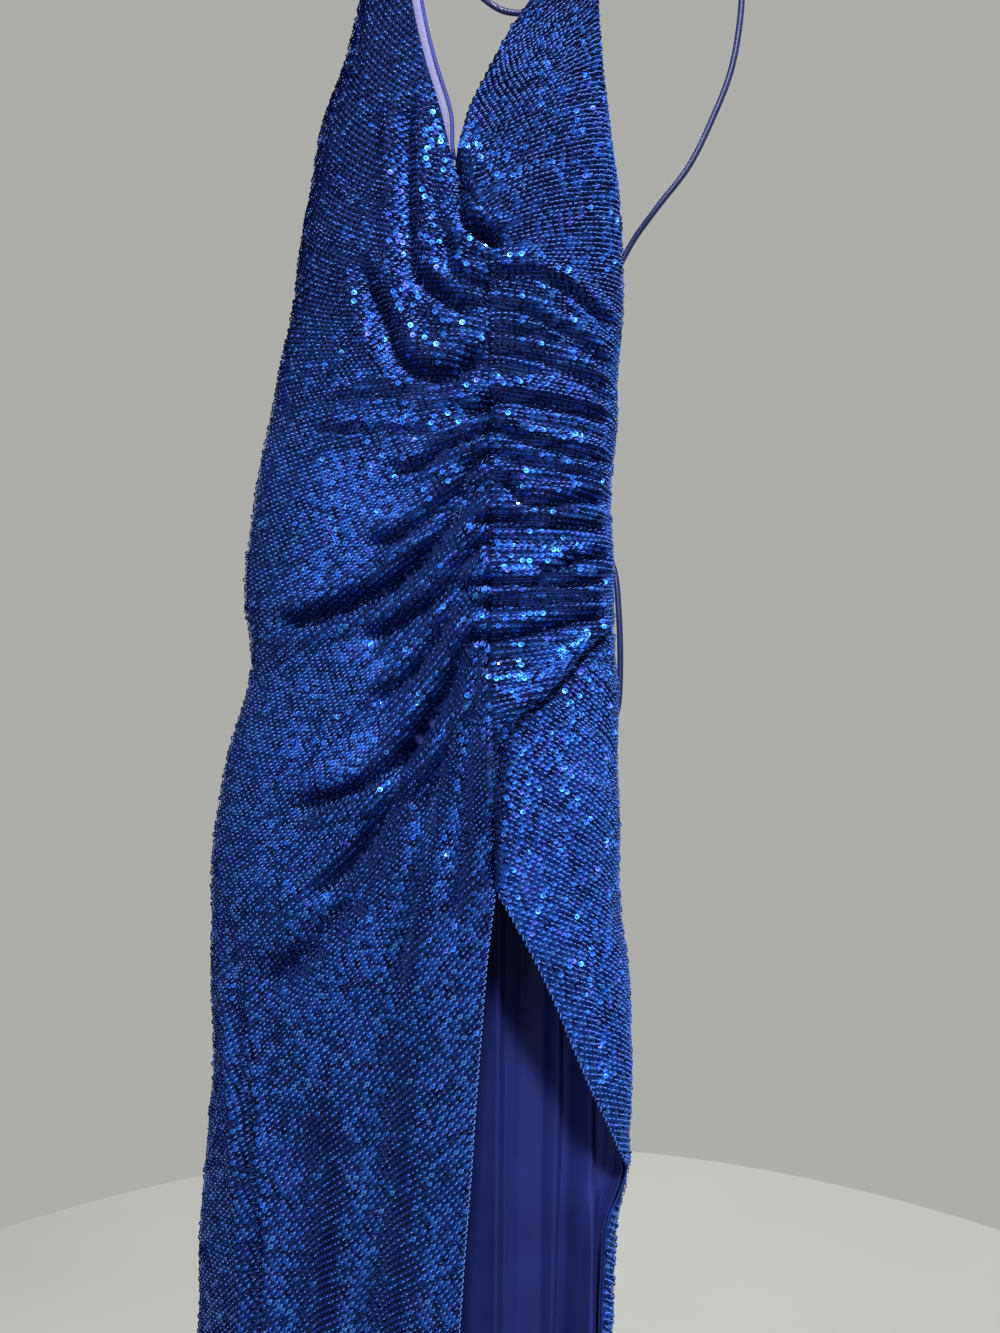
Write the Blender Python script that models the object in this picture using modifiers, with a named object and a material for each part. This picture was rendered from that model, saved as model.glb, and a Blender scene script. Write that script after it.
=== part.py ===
"""A long stretch gown with a V neck, a gathered centre seam, a side-swept slit and a laced back, hanging empty.

Metres, +Z up, the front facing -Y. Left and right are the viewer's. The origin is the point on top of the hanger
arms that the shoulder cords lie over, so the whole gown hangs below z = 0.
"""

import math

import bmesh
import bpy
from mathutils import Vector

# Driving sizes
HEM = -1.45  # height of the hem
UNDERARM = -0.256
BACK_DIP = -0.500  # bottom of the open back
V_BOTTOM = -0.222
SLIT_TOP = -0.684
FLAP_CORNER = -0.883  # where the slit's right edge turns round the side
LEFT_APEX, RIGHT_APEX = -0.020, -0.016  # tops of the two bodice points
FRONT_DEPTH = 0.060
BACK_DEPTH = 0.046

PANEL_THICKNESS = 0.0014
LINING_THICKNESS = 0.0006
LINING_GAP = 0.0020  # room for zip tapes and elastic behind the panels
SEAM_GAP = 0.0004
SIDE_GAP = 0.0014  # the side seams turn a sharp corner, so their edges stand further apart
CLEARANCE = 0.0003
LINING_SETBACK = 0.003
FACET_ROOM = FRONT_DEPTH / 100  # for the flats of two curved sheets, which bulge more on a deeper gown
BINDING_RADIUS = 0.0014

CORD_DIAMETER = 0.0044
CORD_SPACING = 0.0240
CORD_TOLERANCE = 0.0004  # how far a cord's straight steps may cut its bends
LOOP_WIRE = 0.0026
LOOP_SLACK = 0.0032  # between a loop's tip and the cord that turns in it
LOOP_HALF_WIDTH = 0.0065
KNOT = Vector((-0.048, 0.062, -0.470))
KNOT_RADII = (0.0095, 0.0075, 0.0095)
TAIL_KNOT_RADIUS = 0.0052

ZIP_X = -0.048
ZIP_LENGTH = 0.190
ZIP_MOUTH = 0.0068  # width between the panel edges beside the zip
ZIP_TAPE_WIDTH = 0.0130
ZIP_TAPE_THICKNESS = 0.0006
TOOTH_PITCH = 0.0040
TOOTH_REACH = 0.0017
TOOTH_HEIGHT = 0.0022
CHAIN_GAP = 0.0012  # between the two rows, where the slider's divider runs
CHAIN_THICKNESS = 0.0014
SLIDER_LENGTH = 0.0090
SLIDER_PLATE = 0.0008
TAB_LENGTH = 0.0240
TAB_WIDTH = 0.0044
TAB_THICKNESS = 0.0010
PIN_RADIUS = 0.0006
BARREL_RADIUS = 0.0017
TAB_HALF_EYE = 0.0010
SLIDER_HALF_WIDTH = 0.0030

CUP_THICKNESS = 0.0060
ELASTIC_WIDTH = 0.0080
ELASTIC_THICKNESS = 0.0005
FACING_WIDTH = 0.0110
FACING_THICKNESS = 0.0005
WIRE_RADIUS = 0.0005
LABEL_SIZE = (0.026, 0.040)
LABEL_THICKNESS = 0.0005

# Outlines, as (height, x) from top to bottom
LEFT_SIDE = ((0.0, -0.078), (-0.083, -0.0897), (-0.193, -0.1208), (-0.256, -0.1311), (-0.318, -0.1415),
             (-0.407, -0.1605), (-0.490, -0.1712), (-0.538, -0.1665), (-0.628, -0.1875), (-0.704, -0.1932),
             (-0.814, -0.1930), (-0.911, -0.2000), (-1.003, -0.2020), (-1.450, -0.2120))
RIGHT_SIDE = ((0.0, 0.0720), (-0.083, 0.0690), (-0.166, 0.0773), (-0.256, 0.0863), (-0.373, 0.0825),
              (-0.428, 0.0800), (-0.566, 0.0828), (-0.704, 0.0863), (-0.790, 0.0910), (-0.883, 0.0918),
              (-0.925, 0.0830), (-1.003, 0.0800), (-1.450, 0.0860))
DEPTH_SHARE = ((0.0, 0.15), (-0.083, 0.50), (-0.200, 0.87), (-0.256, 0.93), (-0.400, 0.84), (-0.550, 0.92),
               (-0.700, 1.00), (-1.003, 1.03), (-1.450, 1.10))
LEFT_NECK = ((LEFT_APEX, -0.0662), (-0.102, -0.0548), (-0.147, -0.0454), (-0.183, -0.0352), (V_BOTTOM, -0.0262))
RIGHT_NECK = ((RIGHT_APEX, 0.0580), (-0.102, 0.0233), (-0.126, 0.0101), (-0.1625, -0.0062),
              (-0.1835, -0.0159), (V_BOTTOM, -0.0262))
CENTRE_SEAM = ((V_BOTTOM, -0.0262), (-0.277, -0.0040), (-0.526, -0.0029), (SLIT_TOP, 0.0003))
SLIT_LEFT = ((SLIT_TOP, 0.0003), (-0.741, -0.0060), (-0.880, -0.0167), (-0.964, -0.0230), (HEM, -0.0520))
SLIT_RIGHT = ((SLIT_TOP, 0.0003), (-0.725, 0.0225), (-0.767, 0.0420), (-0.814, 0.0600), (-0.845, 0.0740),
              (FLAP_CORNER, 0.0905))

# Heights of the grid rows: key heights with a number of rows between them
FRONT_KEYS = ((None, 6), (V_BOTTOM, 1), (UNDERARM, 6), (-0.526, 3), (SLIT_TOP, 4), (FLAP_CORNER, 5), (HEM, 0))
PANEL_COLUMNS = 6
BACK_NECK_ROWS = 4
ZIP_ROWS = 5
SKIRT_ROWS = 8
SIDE = math.pi / 2
WRAP = math.radians(104)  # the right side seam lies a little round the back

# Routes of the cords, from the bodice point or the knot
LEFT_STRAP = ((-0.0733, -0.0040, -0.0194), (-0.0735, -0.0025, -0.0090), (-0.0715, 0.0045, -0.0032),
              (-0.0620, 0.0110, -0.0120), (-0.0380, 0.0120, -0.0440), (-0.0056, 0.0110, -0.0766),
              (0.0140, 0.0100, -0.0855), (0.0350, 0.0100, -0.0810), (0.0900, 0.0110, -0.0600),
              (0.1420, 0.0120, -0.0400), (0.1590, 0.0090, -0.0350), (0.1695, 0.0040, -0.0440),
              (0.1715, 0.0030, -0.0650), (0.1698, 0.0040, -0.0970), (0.1640, 0.0060, -0.1290),
              (0.1520, 0.0080, -0.1600), (0.1360, 0.0110, -0.1920), (0.1150, 0.0170, -0.2180),
              (0.0990, 0.0260, -0.2380), (0.0870, 0.0310, -0.2600), (0.0775, 0.0290, -0.2810),
              (0.0690, 0.0200, -0.2920), (0.0620, 0.0120, -0.2945), (0.0520, 0.0100, -0.2980),
              (0.0200, 0.0200, -0.3110), (-0.0200, 0.0260, -0.3230), (-0.0600, 0.0230, -0.3350),
              (-0.1000, 0.0130, -0.3450), (-0.1250, 0.0100, -0.3505), (-0.1340, 0.0190, -0.3520),
              (-0.1250, 0.0280, -0.3535), (-0.0850, 0.0360, -0.3640), (-0.0400, 0.0400, -0.3800),
              (0.0000, 0.0440, -0.3960), (0.0180, 0.0470, -0.4050), (0.0270, 0.0460, -0.4095),
              (0.0345, 0.0370, -0.4120), (0.0270, 0.0280, -0.4145), (0.0120, 0.0310, -0.4220),
              (-0.0080, 0.0440, -0.4360), (-0.0300, 0.0560, -0.4500), (-0.0423, 0.0600, -0.4618))
RIGHT_STRAP = ((0.0647, -0.0046, -0.0154), (0.0650, -0.0030, -0.0080), (0.0660, 0.0040, -0.0030),
               (0.0680, 0.0115, -0.0110), (0.0705, 0.0180, -0.0450), (0.0715, 0.0190, -0.0950),
               (0.0700, 0.0210, -0.1450), (0.0600, 0.0240, -0.1950), (0.0350, 0.0300, -0.2350),
               (-0.0050, 0.0340, -0.2600), (-0.0550, 0.0330, -0.2750), (-0.0980, 0.0250, -0.2870),
               (-0.1185, 0.0185, -0.2905), (-0.1275, 0.0095, -0.2920), (-0.1185, 0.0005, -0.2935),
               (-0.0900, 0.0030, -0.3000), (-0.0500, 0.0110, -0.3130), (-0.0200, 0.0160, -0.3220),
               (0.0100, 0.0190, -0.3320), (0.0360, 0.0180, -0.3450), (0.0475, 0.0200, -0.3505),
               (0.0565, 0.0290, -0.3520), (0.0475, 0.0380, -0.3535), (0.0200, 0.0360, -0.3640),
               (-0.0300, 0.0300, -0.3800), (-0.0800, 0.0250, -0.3960), (-0.1100, 0.0200, -0.4070),
               (-0.1225, 0.0215, -0.4105), (-0.1315, 0.0305, -0.4120), (-0.1225, 0.0395, -0.4135),
               (-0.1000, 0.0490, -0.4240), (-0.0740, 0.0570, -0.4410), (-0.0537, 0.0600, -0.4618))
RIGHT_BOW = ((-0.0383, 0.0640, -0.4674), (-0.0270, 0.0672, -0.4645), (-0.0100, 0.0710, -0.4560),
             (0.0200, 0.0700, -0.4450), (0.0520, 0.0560, -0.4420), (0.0750, 0.0380, -0.4520),
             (0.0850, 0.0265, -0.4730), (0.0880, 0.0215, -0.5050), (0.0888, 0.0200, -0.5450),
             (0.0862, 0.0205, -0.5760), (0.0750, 0.0260, -0.5960), (0.0560, 0.0370, -0.5990),
             (0.0280, 0.0460, -0.5680), (0.0020, 0.0520, -0.5250), (-0.0180, 0.0600, -0.4920),
             (-0.0280, 0.0630, -0.4790), (-0.0387, 0.0640, -0.4737))
LEFT_BOW = ((-0.0577, 0.0640, -0.4674), (-0.0690, 0.0670, -0.4645), (-0.0860, 0.0700, -0.4560),
            (-0.1130, 0.0670, -0.4500), (-0.1350, 0.0560, -0.4620), (-0.1440, 0.0470, -0.4900),
            (-0.1430, 0.0430, -0.5300), (-0.1310, 0.0430, -0.5600), (-0.1110, 0.0490, -0.5640),
            (-0.0920, 0.0540, -0.5380), (-0.0780, 0.0570, -0.5080), (-0.0670, 0.0620, -0.4850),
            (-0.0573, 0.0640, -0.4737))
RIGHT_TAIL = ((-0.0438, 0.0625, -0.4791), (-0.0410, 0.0640, -0.4870), (-0.0350, 0.0620, -0.5050),
              (-0.0270, 0.0570, -0.5600), (-0.0210, 0.0530, -0.6300), (-0.0180, 0.0515, -0.7000),
              (-0.0190, 0.0510, -0.7600), (-0.0220, 0.0510, -0.8150))
LEFT_TAIL = ((-0.0522, 0.0625, -0.4791), (-0.0550, 0.0640, -0.4870), (-0.0610, 0.0620, -0.5050),
             (-0.0690, 0.0570, -0.5550), (-0.0780, 0.0530, -0.6200), (-0.0830, 0.0510, -0.6900),
             (-0.0830, 0.0515, -0.7500), (-0.0790, 0.0520, -0.7900))
# Where each cord passes through its loop
LOOP_CENTRES = {
    "left": ((-0.1275, 0.0095, -0.2920), (-0.1340, 0.0190, -0.3520), (-0.1315, 0.0305, -0.4120)),
    "right": ((0.0690, 0.0200, -0.2920), (0.0565, 0.0290, -0.3520), (0.0345, 0.0370, -0.4120)),
}

for leftover in list(bpy.data.objects):
    bpy.data.objects.remove(leftover)
gown = bpy.data.collections.new("evening_gown")
cutters = bpy.data.collections.new("cutters")
bpy.context.scene.collection.children.link(gown)
bpy.context.scene.collection.children.link(cutters)


def material(name, colour, roughness, metallic=0.0):
    made = bpy.data.materials.new(name)
    made.use_nodes = True
    shader = made.node_tree.nodes["Principled BSDF"]
    shader.inputs["Base Color"].default_value = (*colour, 1)
    shader.inputs["Roughness"].default_value = roughness
    shader.inputs["Metallic"].default_value = metallic
    return made


SEQUIN_KNIT = material("sequin_knit", (0.010, 0.050, 0.300), 0.35, 0.6)
LINING_KNIT = material("lining_knit", (0.020, 0.025, 0.190), 0.6)
CORD_SATIN = material("cord_satin", (0.016, 0.024, 0.150), 0.45)
PALE_TAPE = material("pale_tape", (0.450, 0.450, 0.620), 0.8)
FOAM = material("foam", (0.030, 0.035, 0.200), 0.9)
ZIP_NYLON = material("zip_nylon", (0.014, 0.022, 0.140), 0.5)
DARK_METAL = material("dark_metal", (0.060, 0.080, 0.180), 0.3, 1.0)
LABEL_SATIN = material("label_satin", (0.800, 0.800, 0.800), 0.5)


def along(knots, height):
    """The value at a height on a smooth line through (height, value) knots that run from top to bottom."""
    height = max(min(height, knots[0][0]), knots[-1][0])
    slopes = [(b[1] - a[1]) / (b[0] - a[0]) for a, b in zip(knots, knots[1:])]
    inner = [0.0 if a * b <= 0 else 2 * a * b / (a + b) for a, b in zip(slopes, slopes[1:])]
    slopes_at = [slopes[0], *inner, slopes[-1]]
    index = next(i for i in range(len(knots) - 1) if height >= knots[i + 1][0])
    (high, start), (low, end) = knots[index], knots[index + 1]
    span = low - high
    t = (height - high) / span
    return (
        (2 * t**3 - 3 * t**2 + 1) * start
        + (t**3 - 2 * t**2 + t) * span * slopes_at[index]
        + (3 * t**2 - 2 * t**3) * end
        + (t**3 - t**2) * span * slopes_at[index + 1]
    )


def section(height):
    """The gown's cross-section at a height: its centre, half width, and half depth in front."""
    left, right = along(LEFT_SIDE, height), along(RIGHT_SIDE, height)
    return (left + right) / 2, (right - left) / 2, FRONT_DEPTH * along(DEPTH_SHARE, height)


def on_gown(angle, height, inset=0.0):
    """A point on the gown. The angle is 0 in front, a quarter turn at the right and a half turn behind."""
    centre, half_width, half_depth = section(height)
    depth = half_depth if math.cos(angle) > 0 else BACK_DEPTH
    return Vector((
        centre + (half_width - inset) * math.sin(angle),
        -(depth - min(inset, depth / 2)) * math.cos(angle),
        height,
    ))


def front_angle(x, height):
    centre, half_width, _ = section(height)
    return math.asin(max(-1.0, min(1.0, (x - centre) / half_width)))


def back_angle(x, height):
    return math.pi - front_angle(x, height)


def heights(top):
    """The front panels' rows from the top down."""
    keys = [(top, FRONT_KEYS[0][1]), *FRONT_KEYS[1:]]
    rows = [top]
    for (high, count), (low, _) in zip(keys, keys[1:]):
        rows += [high + (low - high) * (i + 1) / count for i in range(count)]
    return rows


def left_panel_edge(height):
    """The x of the front left panel's inner edge: neckline, centre seam, then slit."""
    if height > V_BOTTOM:
        return along(LEFT_NECK, height)
    if height > SLIT_TOP:
        return along(CENTRE_SEAM, height) - SEAM_GAP / 2
    return along(SLIT_LEFT, height) - SEAM_GAP / 2


def right_panel_edge(height):
    """The angle of the front right panel's inner edge. Below the flap's corner it runs down the side."""
    if height > V_BOTTOM:
        return front_angle(along(RIGHT_NECK, height), height)
    if height > SLIT_TOP:
        return front_angle(along(CENTRE_SEAM, height) + SEAM_GAP / 2, height)
    if height > FLAP_CORNER:
        return front_angle(along(SLIT_RIGHT, height) + SEAM_GAP / 2, height)
    drop = (FLAP_CORNER - height) / (FLAP_CORNER - HEM)
    start = front_angle(SLIT_RIGHT[-1][1] + SEAM_GAP / 2, FLAP_CORNER)
    return start + (math.radians(86) - start) * min(1.0, 6 * drop)


def turned(distance, height):
    """The angle that a distance makes at the gown's sides."""
    return distance / (FRONT_DEPTH * along(DEPTH_SHARE, height))


def front_left(s, height, inset=0.0, setback=0.0):
    inner = front_angle(left_panel_edge(height) - setback, height)
    outer = -SIDE + turned(setback, height)
    return on_gown(outer + (inner - outer) * s, height, inset)


def front_right(s, height, inset=0.0, setback=0.0):
    centre, half_width, _ = section(height)
    inner = right_panel_edge(height) + setback / half_width
    seam = WRAP if height < UNDERARM else SIDE
    outer = seam - turned(setback, height)
    return on_gown(inner + (outer - inner) * s, height, inset)


def back_top(s):
    """The height of the open back's edge, from a side seam (s = 0) to the centre back (s = 1)."""
    return UNDERARM + (BACK_DIP - UNDERARM) * math.sin(s * math.pi / 2) ** 0.85


def mouth(height):
    """Half the width between the back panels: open beside the zip, closed below it."""
    zip_end = BACK_DIP - ZIP_LENGTH
    opening = ((BACK_DIP, ZIP_MOUTH), (zip_end, ZIP_MOUTH), (zip_end - 0.012, SEAM_GAP), (HEM, SEAM_GAP))
    return along(opening, height) / 2


def back_rows(s, setback=0.0):
    """The heights of a back panel's rows at s, from the top down. The edge is steep at the sides."""
    top = back_top(s) - setback * (4 - 3 * s)
    start, zip_end = BACK_DIP - 0.008, BACK_DIP - ZIP_LENGTH
    rows = [top + (start - top) * i / BACK_NECK_ROWS for i in range(BACK_NECK_ROWS)]
    rows += [start + (zip_end - start) * i / ZIP_ROWS for i in range(ZIP_ROWS)]
    low = zip_end - 0.012
    rows += [zip_end, low]
    rows += [low + (HEM - low) * (i + 1) / SKIRT_ROWS for i in range(SKIRT_ROWS)]
    return rows


BACK_ROW_COUNT = len(back_rows(0.5)) - 1


def back_point(side, s, row, inset=0.0, setback=0.0):
    """A point on a back panel, -1 for the left one and 1 for the right. s runs from side to centre."""
    height = back_rows(s, setback)[row]
    seam = 2 * math.pi - SIDE if side < 0 else WRAP
    seam += side * (SIDE_GAP + setback) / BACK_DEPTH
    centre_back = back_angle(ZIP_X + side * (mouth(height) + setback), height)
    return on_gown(seam + (centre_back - seam) * s, height, inset)


def finish(obj, surface):
    obj.data.materials.append(surface)
    for collection in list(obj.users_collection):
        collection.objects.unlink(obj)
    gown.objects.link(obj)
    return obj


def sheet(name, columns, rows, place, thickness, surface):
    """A thin closed solid: a grid laid out by place(column share, row) from the top, thickened inwards."""
    grid = bmesh.new()
    bmesh.ops.create_grid(grid, x_segments=columns, y_segments=rows, size=0.5)
    for vertex in grid.verts:
        vertex.co = place(vertex.co.x + 0.5, round((0.5 - vertex.co.y) * rows))
    mesh = bpy.data.meshes.new(name)
    grid.to_mesh(mesh)
    grid.free()
    obj = bpy.data.objects.new(name, mesh)
    wall = obj.modifiers.new("thickness", "SOLIDIFY")
    wall.thickness = thickness
    wall.offset = -1
    wall.use_even_offset = True
    return finish(obj, surface)


def tube(name, points, radius, surface, resolution=2):
    """A round cord or wire along points, with closed ends."""
    curve = bpy.data.curves.new(name, "CURVE")
    curve.dimensions = "3D"
    curve.bevel_depth = radius
    curve.bevel_resolution = resolution
    curve.use_fill_caps = True
    spline = curve.splines.new("POLY")
    spline.points.add(len(points) - 1)
    for point, place in zip(spline.points, points):
        point.co = (*place, 1)
    return finish(bpy.data.objects.new(name, curve), surface)


def smooth_route(route):
    """Points on a smooth curve through the route's points, closer together where it bends."""
    points = [Vector(point) for point in route]
    ends = [points[0] * 2 - points[1], *points, points[-1] * 2 - points[-2]]
    fine = []
    for before, start, end, after in zip(ends, ends[1:], ends[2:], ends[3:]):
        for step in range(12):
            t = step / 12
            fine.append(
                0.5 * (2 * start + (end - before) * t + (2 * before - 5 * start + 4 * end - after) * t**2
                       + (3 * start - before - 3 * end + after) * t**3)
            )
    fine.append(ends[-2])
    kept, last = [fine[0]], 0
    for index in range(2, len(fine)):
        reach = fine[index] - fine[last]
        off = max((point - fine[last]).cross(reach.normalized()).length for point in fine[last + 1:index])
        if off > CORD_TOLERANCE or reach.length > CORD_SPACING:
            kept.append(fine[index - 1])
            last = index - 1
    kept.append(fine[-1])
    return kept


def box(name, low, high, collection=gown):
    """A box between two corners."""
    low, high = Vector(low), Vector(high)
    block = bmesh.new()
    bmesh.ops.create_cube(block, size=1)
    for vertex in block.verts:
        vertex.co = Vector(a + (b - a) * (c + 0.5) for a, b, c in zip(low, high, vertex.co))
    mesh = bpy.data.meshes.new(name)
    block.to_mesh(mesh)
    block.free()
    obj = bpy.data.objects.new(name, mesh)
    collection.objects.link(obj)
    return obj


def rod(name, start, end, radius, collection):
    """A round bar between two points."""
    start, end = Vector(start), Vector(end)
    bar = bmesh.new()
    bmesh.ops.create_cone(
        bar, cap_ends=True, segments=12, radius1=radius, radius2=radius, depth=(end - start).length
    )
    turn = (end - start).to_track_quat("Z", "Y").to_matrix().to_4x4()
    bmesh.ops.transform(bar, matrix=turn, verts=bar.verts)
    bmesh.ops.translate(bar, vec=(start + end) / 2, verts=bar.verts)
    mesh = bpy.data.meshes.new(name)
    bar.to_mesh(mesh)
    bar.free()
    obj = bpy.data.objects.new(name, mesh)
    collection.objects.link(obj)
    return obj


def combine(obj, other, operation):
    """Joins or cuts obj with a hidden helper."""
    other.hide_render = True
    other.display_type = "WIRE"
    change = obj.modifiers.new(other.name, "BOOLEAN")
    change.operation = operation
    change.object = other


def beside(edge, inner, distance):
    """A line that follows a panel's edge at a distance, in the panel's own surface."""
    line = []
    for i, (point, inside) in enumerate(zip(edge, inner)):
        run = (edge[min(i + 1, len(edge) - 1)] - edge[max(i - 1, 0)]).normalized()
        outward = point - inside
        outward -= run * outward.dot(run)
        line.append(point + outward.normalized() * distance)
    return line


def make_panels():
    rows_left, rows_right = heights(LEFT_APEX), heights(RIGHT_APEX)
    sheet("front_left_panel", PANEL_COLUMNS, len(rows_left) - 1,
          lambda s, row: front_left(s, rows_left[row]), PANEL_THICKNESS, SEQUIN_KNIT)
    sheet("front_right_panel", PANEL_COLUMNS, len(rows_right) - 1,
          lambda s, row: front_right(s, rows_right[row]), PANEL_THICKNESS, SEQUIN_KNIT)
    sheet("back_left_panel", PANEL_COLUMNS, BACK_ROW_COUNT,
          lambda s, row: back_point(-1, 1 - s, row), PANEL_THICKNESS, SEQUIN_KNIT)
    sheet("back_right_panel", PANEL_COLUMNS, BACK_ROW_COUNT,
          lambda s, row: back_point(1, s, row), PANEL_THICKNESS, SEQUIN_KNIT)


def make_linings():
    inset = PANEL_THICKNESS + LINING_GAP
    rows_left = heights(LEFT_APEX - LINING_SETBACK)
    rows_right = heights(RIGHT_APEX - LINING_SETBACK)
    sheet("front_left_lining", PANEL_COLUMNS, len(rows_left) - 1,
          lambda s, row: front_left(s, rows_left[row], inset, LINING_SETBACK), LINING_THICKNESS, LINING_KNIT)
    sheet("front_right_lining", PANEL_COLUMNS, len(rows_right) - 1,
          lambda s, row: front_right(s, rows_right[row], inset, LINING_SETBACK), LINING_THICKNESS, LINING_KNIT)
    for side, name in ((-1, "left"), (1, "right")):
        sheet(f"back_{name}_lining", PANEL_COLUMNS, BACK_ROW_COUNT,
              lambda s, row, side=side: back_point(side, s if side > 0 else 1 - s, row, inset, LINING_SETBACK),
              LINING_THICKNESS, LINING_KNIT)


def make_bindings():
    """Narrow rolled bindings along the necklines, armholes and open back."""
    middle = PANEL_THICKNESS / 2
    away = BINDING_RADIUS + CLEARANCE
    rows = {-1: heights(LEFT_APEX), 1: heights(RIGHT_APEX)}
    for side, name, panel in ((-1, "left", front_left), (1, "right", front_right)):
        neck_share = (1.0, 0.95) if side < 0 else (0.0, 0.05)
        arm_share = (0.0, 0.05) if side < 0 else (1.0, 0.95)
        neck_rows = [row for row in rows[side] if row > V_BOTTOM + 0.001]
        arm_rows = [row for row in rows[side] if row >= UNDERARM - 0.001]
        for place, shares, used in (("neck", neck_share, neck_rows), ("armhole", arm_share, arm_rows)):
            edge, inner = ([panel(share, row, middle) for row in used] for share in shares)
            line = beside(edge, inner, away)
            line[-1] = line[-1].lerp(line[-2], 0.12)
            tube(f"{place}_binding_{name}", line, BINDING_RADIUS, CORD_SATIN)
        tube(f"back_binding_{name}", back_binding_line(side, away), BINDING_RADIUS, CORD_SATIN)


def back_binding_line(side, distance):
    middle = PANEL_THICKNESS / 2
    shares = [i / PANEL_COLUMNS for i in range(PANEL_COLUMNS + 1)]
    edge = [back_point(side, share, 0, middle) for share in shares]
    inner = [back_point(side, share, 1, middle) for share in shares]
    line = beside(edge, inner, distance)
    line[0] = line[0].lerp(line[1], 0.10)
    line[-1] = line[-1].lerp(line[-2], 0.06)
    return line


def line_at(line, height):
    """The point of a falling line at a height."""
    for a, b in zip(line, line[1:]):
        if b.z <= height <= a.z:
            return a.lerp(b, (a.z - height) / (a.z - b.z))
    return line[-1]


def make_loops():
    """Sewn cord loops on the open back's edges, each round the place where a cord passes through."""
    for side, name in ((-1, "left"), (1, "right")):
        line = back_binding_line(side, 2 * BINDING_RADIUS + CLEARANCE + LOOP_WIRE * 0.8)
        for number, centre in enumerate(LOOP_CENTRES[name], 1):
            centre = Vector(centre)
            top = line_at(line, centre.z + LOOP_HALF_WIDTH)
            low = line_at(line, centre.z - LOOP_HALF_WIDTH)
            out = Vector((-side, 0.15, 0)).normalized()
            reach = (centre - (top + low) / 2).dot(out)
            reach += CORD_DIAMETER / 2 + LOOP_WIRE / 2 + LOOP_SLACK - LOOP_HALF_WIDTH
            middle = (top + low) / 2 + out * reach
            bend = [math.radians(90 - 22.5 * step) for step in range(9)]
            arc = [middle + LOOP_HALF_WIDTH * (out * math.cos(a) + Vector((0, 0, math.sin(a)))) for a in bend]
            tube(f"lacing_loop_{name}_{number}", [top, *arc, low], LOOP_WIRE / 2, CORD_SATIN)


def make_cords():
    for name, route in (("strap_cord_left", LEFT_STRAP), ("strap_cord_right", RIGHT_STRAP),
                        ("bow_loop_left", LEFT_BOW), ("bow_loop_right", RIGHT_BOW),
                        ("cord_tail_left", LEFT_TAIL), ("cord_tail_right", RIGHT_TAIL)):
        tube(name, smooth_route(route), CORD_DIAMETER / 2, CORD_SATIN)
    ball("lacing_knot", KNOT, KNOT_RADII)
    for side, route in (("left", LEFT_TAIL), ("right", RIGHT_TAIL)):
        end = Vector(route[-1])
        run = (end - Vector(route[-2])).normalized()
        ball(f"tail_knot_{side}", end + run * (TAIL_KNOT_RADIUS + CLEARANCE), (TAIL_KNOT_RADIUS,) * 3)


def ball(name, centre, radii):
    knot = bmesh.new()
    bmesh.ops.create_uvsphere(knot, u_segments=12, v_segments=8, radius=1)
    bmesh.ops.scale(knot, vec=radii, verts=knot.verts)
    bmesh.ops.translate(knot, vec=centre, verts=knot.verts)
    mesh = bpy.data.meshes.new(name)
    knot.to_mesh(mesh)
    knot.free()
    finish(bpy.data.objects.new(name, mesh), CORD_SATIN)


def make_inner_parts():
    """The pale neck facings, foam bust cups, the elastic behind the gathers and a blank care label."""
    inside = PANEL_THICKNESS + LINING_GAP + LINING_THICKNESS + FACET_ROOM
    for side, name, apex, neck in ((-1, "left", LEFT_APEX, LEFT_NECK), (1, "right", RIGHT_APEX, RIGHT_NECK)):
        rows = [row for row in heights(apex)[1:] if row >= V_BOTTOM + 0.001]

        def facing(s, row, side=side, neck=neck, rows=rows):
            share = 1 - s if side < 0 else s
            x = along(neck, rows[row]) + side * (0.001 + FACING_WIDTH * share)
            return on_gown(front_angle(x, rows[row]), rows[row], inside)

        sheet(f"neck_facing_{name}", 1, len(rows) - 1, facing, FACING_THICKNESS, PALE_TAPE)

    for name, x in (("left", -0.0850), ("right", 0.0360)):
        cup("bust_cup_" + name, x, inside + FACING_THICKNESS + CLEARANCE)

    rows = [row for row in heights(LEFT_APEX) if SLIT_TOP + 0.03 < row <= UNDERARM + 0.001]

    def elastic(s, row):
        x = along(CENTRE_SEAM, rows[row]) + (s - 0.5) * ELASTIC_WIDTH
        return on_gown(front_angle(x, rows[row]), rows[row], PANEL_THICKNESS + CLEARANCE + 0.0001)

    sheet("ruching_elastic", 2, len(rows) - 1, elastic, ELASTIC_THICKNESS, CORD_SATIN)
    width, height = LABEL_SIZE
    sheet("care_label", 2, 2,
          lambda s, row: on_gown(2 * math.pi - SIDE - (0.008 + width * (1 - s)) / BACK_DEPTH,
                                 -0.560 - height * row / 2, inside + 0.001),
          LABEL_THICKNESS, LABEL_SATIN)


def cup(name, x, inset, height=-0.202, half_width=0.034, half_height=0.044):
    """A foam cup: a flattened ball laid against the inside of the bodice."""
    pad = bmesh.new()
    bmesh.ops.create_uvsphere(pad, u_segments=14, v_segments=8, radius=1)
    for vertex in pad.verts:
        across, up, out = vertex.co.x, vertex.co.y, vertex.co.z
        place = x + across * half_width, height + up * half_height
        vertex.co = on_gown(front_angle(*place), place[1], inset + CUP_THICKNESS * (1 - out) / 2)
    bmesh.ops.recalc_face_normals(pad, faces=pad.faces)
    mesh = bpy.data.meshes.new(name)
    pad.to_mesh(mesh)
    pad.free()
    finish(bpy.data.objects.new(name, mesh), FOAM)


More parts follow.
